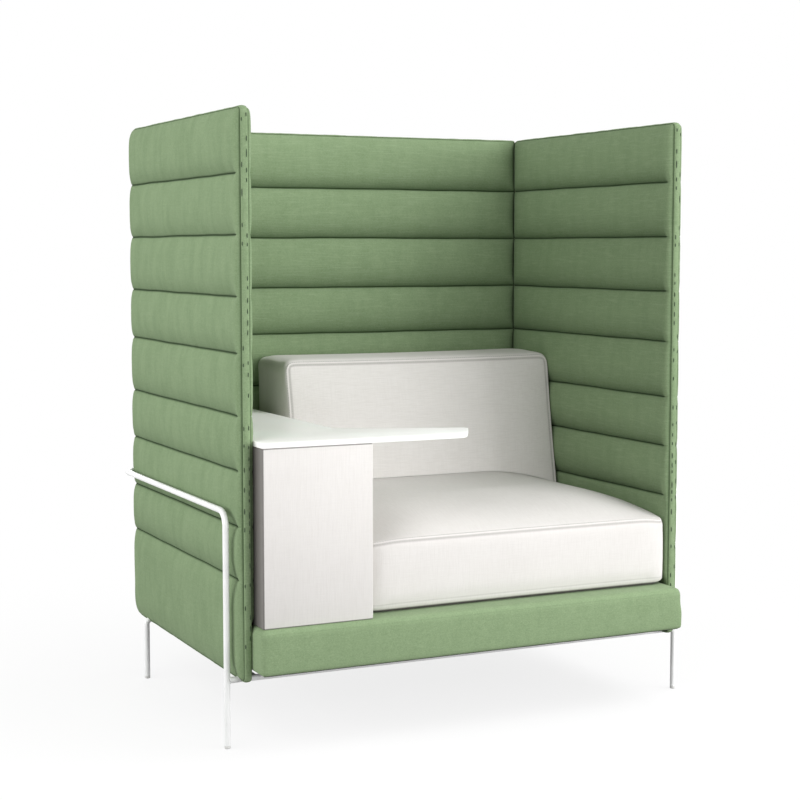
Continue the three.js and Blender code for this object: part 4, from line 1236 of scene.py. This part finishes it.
def select_where(piece, kind, test):
    """Selects the vertices, edges or faces of the piece in edit mode whose middle passes the test."""
    bpy.ops.mesh.select_mode(type=kind)
    bpy.ops.mesh.select_all(action="DESELECT")
    form = bmesh.from_edit_mesh(piece.data)
    items = {"VERT": form.verts, "EDGE": form.edges, "FACE": form.faces}[kind]
    for item in items:
        corners = [item.co] if kind == "VERT" else [vertex.co for vertex in item.verts]
        item.select_set(test(corners))
    form.select_flush_mode()
    bmesh.update_edit_mesh(piece.data)


# The block's linen in metres: its thickness, how round its corners are, how deep it turns in at head and foot
LINEN_WALL = 0.0022
LINEN_CORNER = 0.0035
LINEN_TURN = 0.0024


def block_cover():
    """The arm block's linen: four crisp walls, turned in at head and foot, with shade painted beside the
    screen and round its top and foot.
    """
    low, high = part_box("block_cover")
    middle, size = (low + high) / 2, high - low
    piece = start_piece("block_linen", bpy.ops.mesh.primitive_cube_add, size=1, location=middle, scale=size)
    bpy.ops.object.mode_set(mode="EDIT")
    select_where(piece, "FACE", lambda c: len({round(p.z, 5) for p in c}) == 1)
    bpy.ops.mesh.delete(type="FACE")
    select_where(piece, "EDGE", lambda c: abs(c[0].z - c[1].z) > 0.1)
    bpy.ops.mesh.bevel(offset=LINEN_CORNER, segments=4, affect="EDGES")
    shrink = (1 - LINEN_TURN / size.x, 1 - LINEN_TURN / size.y, 1)
    for rim, height in ((low.z, low.z + 0.0025), (high.z, high.z - 0.003)):
        cut(UP, height)
        select_where(piece, "VERT", lambda c, rim=rim: abs(c[0].z - rim) < 0.0001)
        bpy.ops.transform.resize(value=shrink, center_override=tuple(middle))
    # Extra cuts near the screen's edge carry the painted shade's fade
    screen_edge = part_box("left_screen_edge_band")[0].y
    for step in (-0.036, -0.026, -0.016, -0.008, 0.0):
        cut(BACK, screen_edge + step)
    bpy.ops.object.mode_set(mode="OBJECT")
    points = coordinates(piece)
    # Painted shade: the face beside the screen nearly black, darkest towards the rear, and a dark line round
    # the top and the foot
    beside = points[:, 0] < low.x + 0.003
    dark = np.where(beside, 0.84 + 0.15 * smooth(points[:, 1], screen_edge - 0.042, screen_edge - 0.01), 0)
    rim = (points[:, 2] < low.z + 0.0002) | (points[:, 2] > high.z - 0.0002)
    paint_seams_and_shade(piece, np.maximum(dark, 0.95 * rim))
    add_wall(piece, LINEN_WALL)
    shade(piece, 35)
    dress(piece, finishes()["upright linen"], ["block_cover"])


# The worktop's tongue in metres: how far it reaches past the block, how much less it does at its front,
# and how far behind the worktop's front its root and its tip end
TONGUE_REACH = 0.29
TONGUE_SLANT = 0.056
TONGUE_ROOT = 0.214
TONGUE_TIP = 0.1


def worktop():
    """The worktop: a thin slab that runs out into a tapering tongue over the seat."""
    low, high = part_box("worktop")
    block_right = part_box("block_cover")[1].x
    tip, root = block_right + TONGUE_REACH, low.y + TONGUE_ROOT
    # Places and radii of its corners, anticlockwise from the front left
    corners = [
        (low.x, low.y, 0.0015), (tip - TONGUE_SLANT, low.y, 0.045), (tip, low.y + TONGUE_TIP, 0.012),
        (block_right, root, 0.036), (block_right, high.y, 0.004), (low.x, high.y, 0.004),
    ]
    middle = ((low.x + block_right) / 2, (low.y + high.y) / 2, (low.z + high.z) / 2)
    size = (block_right - low.x, high.y - low.y, high.z - low.z)
    piece = start_piece("worktop_slab", bpy.ops.mesh.primitive_cube_add, size=1, location=middle, scale=size)
    bpy.ops.object.mode_set(mode="EDIT")
    cut(BACK, root)
    select_where(piece, "FACE", lambda c: all(p.x > block_right - 0.0001 and p.y < root + 0.0001 for p in c))
    bpy.ops.mesh.extrude_region_move(TRANSFORM_OT_translate={"value": (TONGUE_REACH, 0, 0)})
    for y, move in ((low.y, (-TONGUE_SLANT, 0, 0)), (root, (0, TONGUE_TIP - TONGUE_ROOT, 0))):
        select_where(piece, "VERT", lambda c, y=y: c[0].x > tip - 0.0001 and abs(c[0].y - y) < 0.0001)
        bpy.ops.transform.translate(value=move)
    bpy.ops.mesh.select_all(action="SELECT")
    bpy.ops.mesh.dissolve_limited(angle_limit=math.radians(1))
    for i, (x, y, radius) in enumerate(corners):
        corner = Vector((x, y))
        before = Vector(corners[i - 1][:2]) - corner
        after = Vector(corners[(i + 1) % len(corners)][:2]) - corner
        run = radius / math.tan(before.angle(after) / 2)
        select_where(piece, "EDGE", lambda c, corner=corner: all((p.xy - corner).length < 0.0003 for p in c))
        bpy.ops.mesh.bevel(offset=run, segments=10, affect="EDGES")
    turn_outward()
    select_where(piece, "EDGE", lambda c: abs(c[0].z - c[1].z) < 1e-6)
    bpy.ops.mesh.bevel(offset=0.0012, segments=3, affect="EDGES")
    bpy.ops.object.mode_set(mode="OBJECT")
    shade(piece, 30)
    dress(piece, finishes()["laminate"], ["worktop"])


# Tube frame


def tube_radius():
    low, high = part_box("front_cross_tube")
    return (high.z - low.z) / 2


def tube(name, start, moves):
    """A steel tube in a solid's stead: a ring of points run straight or spun round each bend, with a wall."""
    settings = frame_settings()
    piece = start_piece(
        name, bpy.ops.mesh.primitive_circle_add, vertices=settings.tube_sides, radius=tube_radius(),
        fill_type="NOTHING", location=start, rotation=turned_to(Vector(moves[0][1]).normalized()),
    )
    edit_all()
    for move in moves:
        if move[0] == "run":
            bpy.ops.mesh.extrude_region_move(TRANSFORM_OT_translate={"value": tuple(move[1])})
        else:
            bpy.ops.mesh.spin(steps=move[3], angle=-math.pi / 2, center=tuple(move[1]), axis=tuple(move[2]))
    bpy.ops.mesh.select_all(action="SELECT")
    bpy.ops.mesh.remove_doubles(threshold=0.00001)
    turn_outward()
    bpy.ops.object.mode_set(mode="OBJECT")
    add_wall(piece, settings.tube_wall, even=True)
    shade(piece, 40)
    dress(piece, finishes()["steel"], [f"{name}_tube"])


def weld_bead(name, centre, axis):
    """The bead where one tube is welded onto another, uneven as a hand-laid weld is."""
    settings = frame_settings()
    bead = start_piece(
        name, bpy.ops.mesh.primitive_torus_add, location=centre, rotation=turned_to(axis), major_segments=40,
        minor_segments=8, major_radius=tube_radius() + settings.bead * 0.2, minor_radius=settings.bead,
    )
    edit_all()
    bpy.ops.transform.vertex_random(offset=0.3 * settings.bead, uniform=0.0, normal=1.0, seed=3)
    bpy.ops.mesh.vertices_smooth(factor=0.4, repeat=1)
    bpy.ops.object.mode_set(mode="OBJECT")
    shade(bead)
    dress(bead, finishes()["steel"])


# Bend radii along a tube's middle, in metres: leg to side rail, rear corner of the rail, and rear frame
LEG_BEND = 0.032
RAIL_CORNER = 0.05
REAR_BEND = 0.012


def hoop(side):
    """Front leg, side rail and rear corner of one side, in one bent tube."""
    low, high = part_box(f"{SIDES[side]}_hoop_tube")
    radius = tube_radius()
    x, joint_x = (low.x + radius, high.x) if side < 0 else (high.x - radius, low.x)
    leg_y, rear_y, rail_z = low.y + radius, high.y - radius, high.z - radius
    turn_x = x - side * RAIL_CORNER
    moves = [
        ("run", Vector((0, 0, rail_z - LEG_BEND - low.z))),
        ("bend", (x, leg_y + LEG_BEND, rail_z - LEG_BEND), (-1, 0, 0), 10),
        ("run", Vector((0, rear_y - RAIL_CORNER - leg_y - LEG_BEND, 0))),
        ("bend", (turn_x, rear_y - RAIL_CORNER, rail_z), (0, 0, side), 12),
        ("run", Vector((joint_x - turn_x, 0, 0))),
    ]
    tube(f"{SIDES[side]}_hoop", (x, leg_y, low.z), moves)


def cross_tubes():
    """The front cross tube with its welds, the rear frame with both rear legs, and the rear rail."""
    radius = tube_radius()
    low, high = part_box("front_cross_tube")
    middle = (low + high) / 2
    half = high.x - 0.004
    tube("front_cross", (-half, middle.y, middle.z), [("run", Vector((2 * half, 0, 0)))])
    for side, word in SIDES.items():
        leg_low, leg_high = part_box(f"{word}_hoop_tube")
        leg_x = leg_low.x + radius if side < 0 else leg_high.x - radius
        weld_bead(f"{word}_cross_weld", (leg_x - side * (radius + 0.0002), middle.y, middle.z), (1, 0, 0))

    low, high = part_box("rear_frame_tube")
    y, top = (low.y + high.y) / 2, high.z - radius
    left, right, bend_z = low.x + radius, high.x - radius, top - REAR_BEND
    moves = [
        ("run", Vector((0, 0, bend_z - low.z))),
        ("bend", (left + REAR_BEND, y, bend_z), (0, 1, 0), 8),
        ("run", Vector((right - left - 2 * REAR_BEND, 0, 0))),
        ("bend", (right - REAR_BEND, y, bend_z), (0, 1, 0), 8),
        ("run", Vector((0, 0, low.z - top + REAR_BEND))),
    ]
    tube("rear_frame", (left, y, low.z), moves)

    low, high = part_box("rear_rail_tube")
    middle = (low + high) / 2
    tube("rear_rail", (low.x, middle.y, middle.z), [("run", Vector((high.x - low.x, 0, 0)))])


def feet():
    """Plastic plugs in the legs' ends: turned once with a rounded tread, then copied."""
    radius = tube_radius()
    # Radii and heights of the plug's turned outline, from its tread up into the leg
    profile = [
        (0.004, 0.0), (0.0054, 0.0002), (0.0062, 0.0006), (0.0067, 0.0012), (radius, 0.002), (radius, 0.0062),
        (0.0068, 0.0068), (0.0052, 0.007), (0.0052, 0.022), (0.0046, 0.023),
    ]
    first = start_piece(
        "plug", bpy.ops.mesh.primitive_circle_add, vertices=24, radius=profile[0][0], fill_type="NGON"
    )
    edit_all()
    for (width, level), (next_width, next_level) in zip(profile, profile[1:]):
        bpy.ops.mesh.extrude_region_move(TRANSFORM_OT_translate={"value": (0, 0, next_level - level)})
        growth = next_width / width
        bpy.ops.transform.resize(value=(growth, growth, 1), center_override=(0, 0, next_level))
    turn_outward()
    bpy.ops.object.mode_set(mode="OBJECT")
    shade(first, 40)
    for name in ("left_front", "left_rear", "right_front", "right_rear"):
        low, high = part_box(f"{name}_foot")
        middle = (low + high) / 2
        foot = first.copy()
        foot.data = first.data.copy()
        foot.name = foot.data.name = f"{name}_plug"
        bpy.context.scene.collection.objects.link(foot)
        foot.location = (middle.x, middle.y, low.z)
        pick(foot)
        bpy.ops.object.transform_apply(location=True, rotation=True, scale=True)
        dress(foot, finishes()["plastic"], [f"{name}_foot"])
    bpy.data.objects.remove(first)


# Solids of the frame that stay as they are, by a part of their name
KEPT_FINISHES = (
    ("screen_board", "plywood"), ("base_deck", "plywood"), ("block_", "plywood"),
    ("base_under_cloth", "dust cloth"), ("_rail_standoff", "steel"), ("_side_tube", "steel"),
    ("_bush", "steel"), ("_spigot", "zinc"),
    ("_screw", "zinc"), ("_bolt", "zinc"), ("base_", "timber"),
)


def kept_solids():
    """Gives every solid of the frame that stays its own finish."""
    finish = finishes()
    for name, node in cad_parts.items():
        if node.hide_render:
            continue
        for part, key in KEPT_FINISHES:
            if part in name:
                for material_slot in node.material_slots:
                    material_slot.material = finish[key]
                break
        else:
            raise RuntimeError(f"{name} has no finish")


# Stage


def seen_directly(tree):
    """One for what the camera sees itself, or in gloss or through glass, and zero for what only lights."""
    rays = add_node(tree, "ShaderNodeLightPath").outputs
    seen = combine(tree, "MAXIMUM", rays["Is Camera Ray"], rays["Is Glossy Ray"])
    return combine(tree, "MAXIMUM", seen, rays["Is Transmission Ray"])


def mix_shaders(tree, share, first, second):
    return add_node(tree, "ShaderNodeMixShader", {0: share, 1: first, 2: second}).outputs["Shader"]


def stage_material(name):
    """A pale floor that keeps the chair's shadow near it and turns plain white farther off."""
    material, tree, shader = new_material(name)
    shader.inputs["Roughness"].default_value = 0.9
    shader.inputs["Specular IOR Level"].default_value = 0.1
    place = add_node(tree, "ShaderNodeTexCoord").outputs["Object"]
    far = add_node(tree, "ShaderNodeVectorMath", {0: place}, operation="LENGTH").outputs["Value"]
    away = spread(tree, far, 0.5, 1.8, 0.8, 1.0)
    seen = seen_directly(tree)
    shown = blend_colour(tree, seen, (0.25, 0.25, 0.25), (0.95, 0.95, 0.95))
    tree.links.new(shown, shader.inputs["Base Color"])
    white = add_node(tree, "ShaderNodeEmission", {"Color": (1, 1, 1, 1), "Strength": 1.0}).outputs["Emission"]
    mixed = mix_shaders(tree, combine(tree, "MULTIPLY", away, seen), shader.outputs["BSDF"], white)
    tree.links.new(mixed, tree.nodes["Material Output"].inputs["Surface"])
    return material


# Each lamp's setting, azimuth and elevation in degrees, and size in metres
LAMPS = (
    ("key", 40, 13, (3.0, 2.2)), ("high", 52, 40, (3.0, 3.0)), ("over", 75, 55, (3.0, 3.0)),
    ("front", 10, 12, (3.0, 2.2)), ("left", -60, 35, (3.0, 3.0)), ("side", -100, 13, (3.0, 2.2)),
    ("rear", 172, 14, (3.0, 2.2)),
)


def area_lamp(name, azimuth, elevation, size, power, distance=5.0):
    """A soft lamp that looks at the chair: azimuth runs from straight ahead towards the chair's right."""
    lamp = bpy.data.lights.new(name, "AREA")
    lamp.shape = "RECTANGLE"
    lamp.size, lamp.size_y = size
    lamp.energy = power
    turn, lift = math.radians(azimuth), math.radians(elevation)
    way = Vector((math.sin(turn) * math.cos(lift), -math.cos(turn) * math.cos(lift), math.sin(lift)))
    holder = bpy.data.objects.new(name, lamp)
    holder.location = way * distance + UP * 0.3
    holder.rotation_euler = (UP * 0.7 - holder.location).to_track_quat("-Z", "Y").to_euler()
    bpy.context.scene.collection.objects.link(holder)


def build_stage():
    scene = bpy.context.scene
    settings = scene.lounge_stage
    bpy.ops.object.select_all(action="DESELECT")
    bpy.ops.mesh.primitive_plane_add(size=60)
    floor = bpy.context.active_object
    floor.name = "floor"
    floor.data.materials.append(stage_material("stage_white"))

    world = bpy.data.worlds.new("soft_sky")
    scene.world = world
    world.use_nodes = True
    tree = world.node_tree
    sky = tree.nodes["Background"]
    sky.inputs["Color"].default_value = (1, 1, 1, 1)
    sky.inputs["Strength"].default_value = settings.sky
    white = add_node(tree, "ShaderNodeBackground", {"Color": (1, 1, 1, 1), "Strength": 1.0})
    mixed = mix_shaders(tree, seen_directly(tree), sky.outputs["Background"], white.outputs["Background"])
    tree.links.new(mixed, tree.nodes["World Output"].inputs["Surface"])

    for key, azimuth, elevation, size in LAMPS:
        area_lamp(f"{key}_lamp", azimuth, elevation, size, getattr(settings, key))

    camera = bpy.data.objects.new("camera", bpy.data.cameras.new("camera"))
    scene.collection.objects.link(camera)
    camera.location = (-1.81916, -3.76823, 1.09701)
    camera.rotation_euler = (math.pi / 2 - 0.089356, 0, -0.448679)
    camera.data.lens = 75.535
    camera.data.sensor_width = 36
    camera.data.clip_end = 100
    scene.camera = camera
    scene.view_settings.view_transform = "Standard"


# Operators


class LOUNGE_OT_screens(bpy.types.Operator):
    """Makes the three channelled felt screens with their edge bands"""

    bl_idname = "lounge.screens"
    bl_label = "Felt Screens"

    def execute(self, context):
        side_screen(-1)
        side_screen(1)
        back_screen()
        return {"FINISHED"}


class LOUNGE_OT_base(bpy.types.Operator):
    """Makes the upholstered seat base"""

    bl_idname = "lounge.base"
    bl_label = "Seat Base"

    def execute(self, context):
        base_cover()
        return {"FINISHED"}


class LOUNGE_OT_block(bpy.types.Operator):
    """Makes the arm block's linen cover and the worktop with its tongue"""

    bl_idname = "lounge.block"
    bl_label = "Arm Block and Worktop"

    def execute(self, context):
        block_cover()
        worktop()
        return {"FINISHED"}


class LOUNGE_OT_cushions(bpy.types.Operator):
    """Makes the seat cushion and the back cushion that stands on it"""

    bl_idname = "lounge.cushions"
    bl_label = "Cushions"

    def execute(self, context):
        back_cushion(seat_cushion())
        return {"FINISHED"}


class LOUNGE_OT_frame(bpy.types.Operator):
    """Makes the bent tube frame with its welds and feet"""

    bl_idname = "lounge.frame"
    bl_label = "Tube Frame"

    def execute(self, context):
        hoop(-1)
        hoop(1)
        cross_tubes()
        feet()
        return {"FINISHED"}


class LOUNGE_OT_kept(bpy.types.Operator):
    """Gives the solids that stay as they are their finishes"""

    bl_idname = "lounge.kept"
    bl_label = "Kept Solids"

    def execute(self, context):
        kept_solids()
        return {"FINISHED"}


class LOUNGE_OT_stage(bpy.types.Operator):
    """Sets the floor, the light and the camera"""

    bl_idname = "lounge.stage"
    bl_label = "Stage"

    def execute(self, context):
        build_stage()
        return {"FINISHED"}


OPERATORS = (
    LOUNGE_OT_stage,
    LOUNGE_OT_screens,
    LOUNGE_OT_base,
    LOUNGE_OT_block,
    LOUNGE_OT_cushions,
    LOUNGE_OT_frame,
    LOUNGE_OT_kept,
)
SETTINGS = (
    ("lounge_screens", ScreenSettings),
    ("lounge_cushions", CushionSettings),
    ("lounge_frame", FrameSettings),
    ("lounge_stage", StageSettings),
)


class LOUNGE_PT_panel(bpy.types.Panel):
    """Lists the chair's settings and the steps that make it"""

    bl_label = "Lounge Chair"
    bl_idname = "LOUNGE_PT_panel"
    bl_space_type = "VIEW_3D"
    bl_region_type = "UI"
    bl_category = "Lounge Chair"

    def draw(self, context):
        for name, _ in SETTINGS:
            group = getattr(context.scene, name)
            box = self.layout.box()
            for key in group.bl_rna.properties.keys():
                if key not in ("rna_type", "name"):
                    box.prop(group, key)
        for operator in OPERATORS:
            self.layout.operator(operator.bl_idname)


def register():
    for name, group in SETTINGS:
        bpy.utils.register_class(group)
        setattr(bpy.types.Scene, name, PointerProperty(type=group))
    for operator in OPERATORS:
        bpy.utils.register_class(operator)
    bpy.utils.register_class(LOUNGE_PT_panel)


def unregister():
    bpy.utils.unregister_class(LOUNGE_PT_panel)
    for operator in reversed(OPERATORS):
        bpy.utils.unregister_class(operator)
    for name, group in reversed(SETTINGS):
        delattr(bpy.types.Scene, name)
        bpy.utils.unregister_class(group)


def main():
    register()
    for operator in OPERATORS:
        group, step = operator.bl_idname.split(".")
        getattr(getattr(bpy.ops, group), step)()
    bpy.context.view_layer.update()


if __name__ == "__main__":
    main()
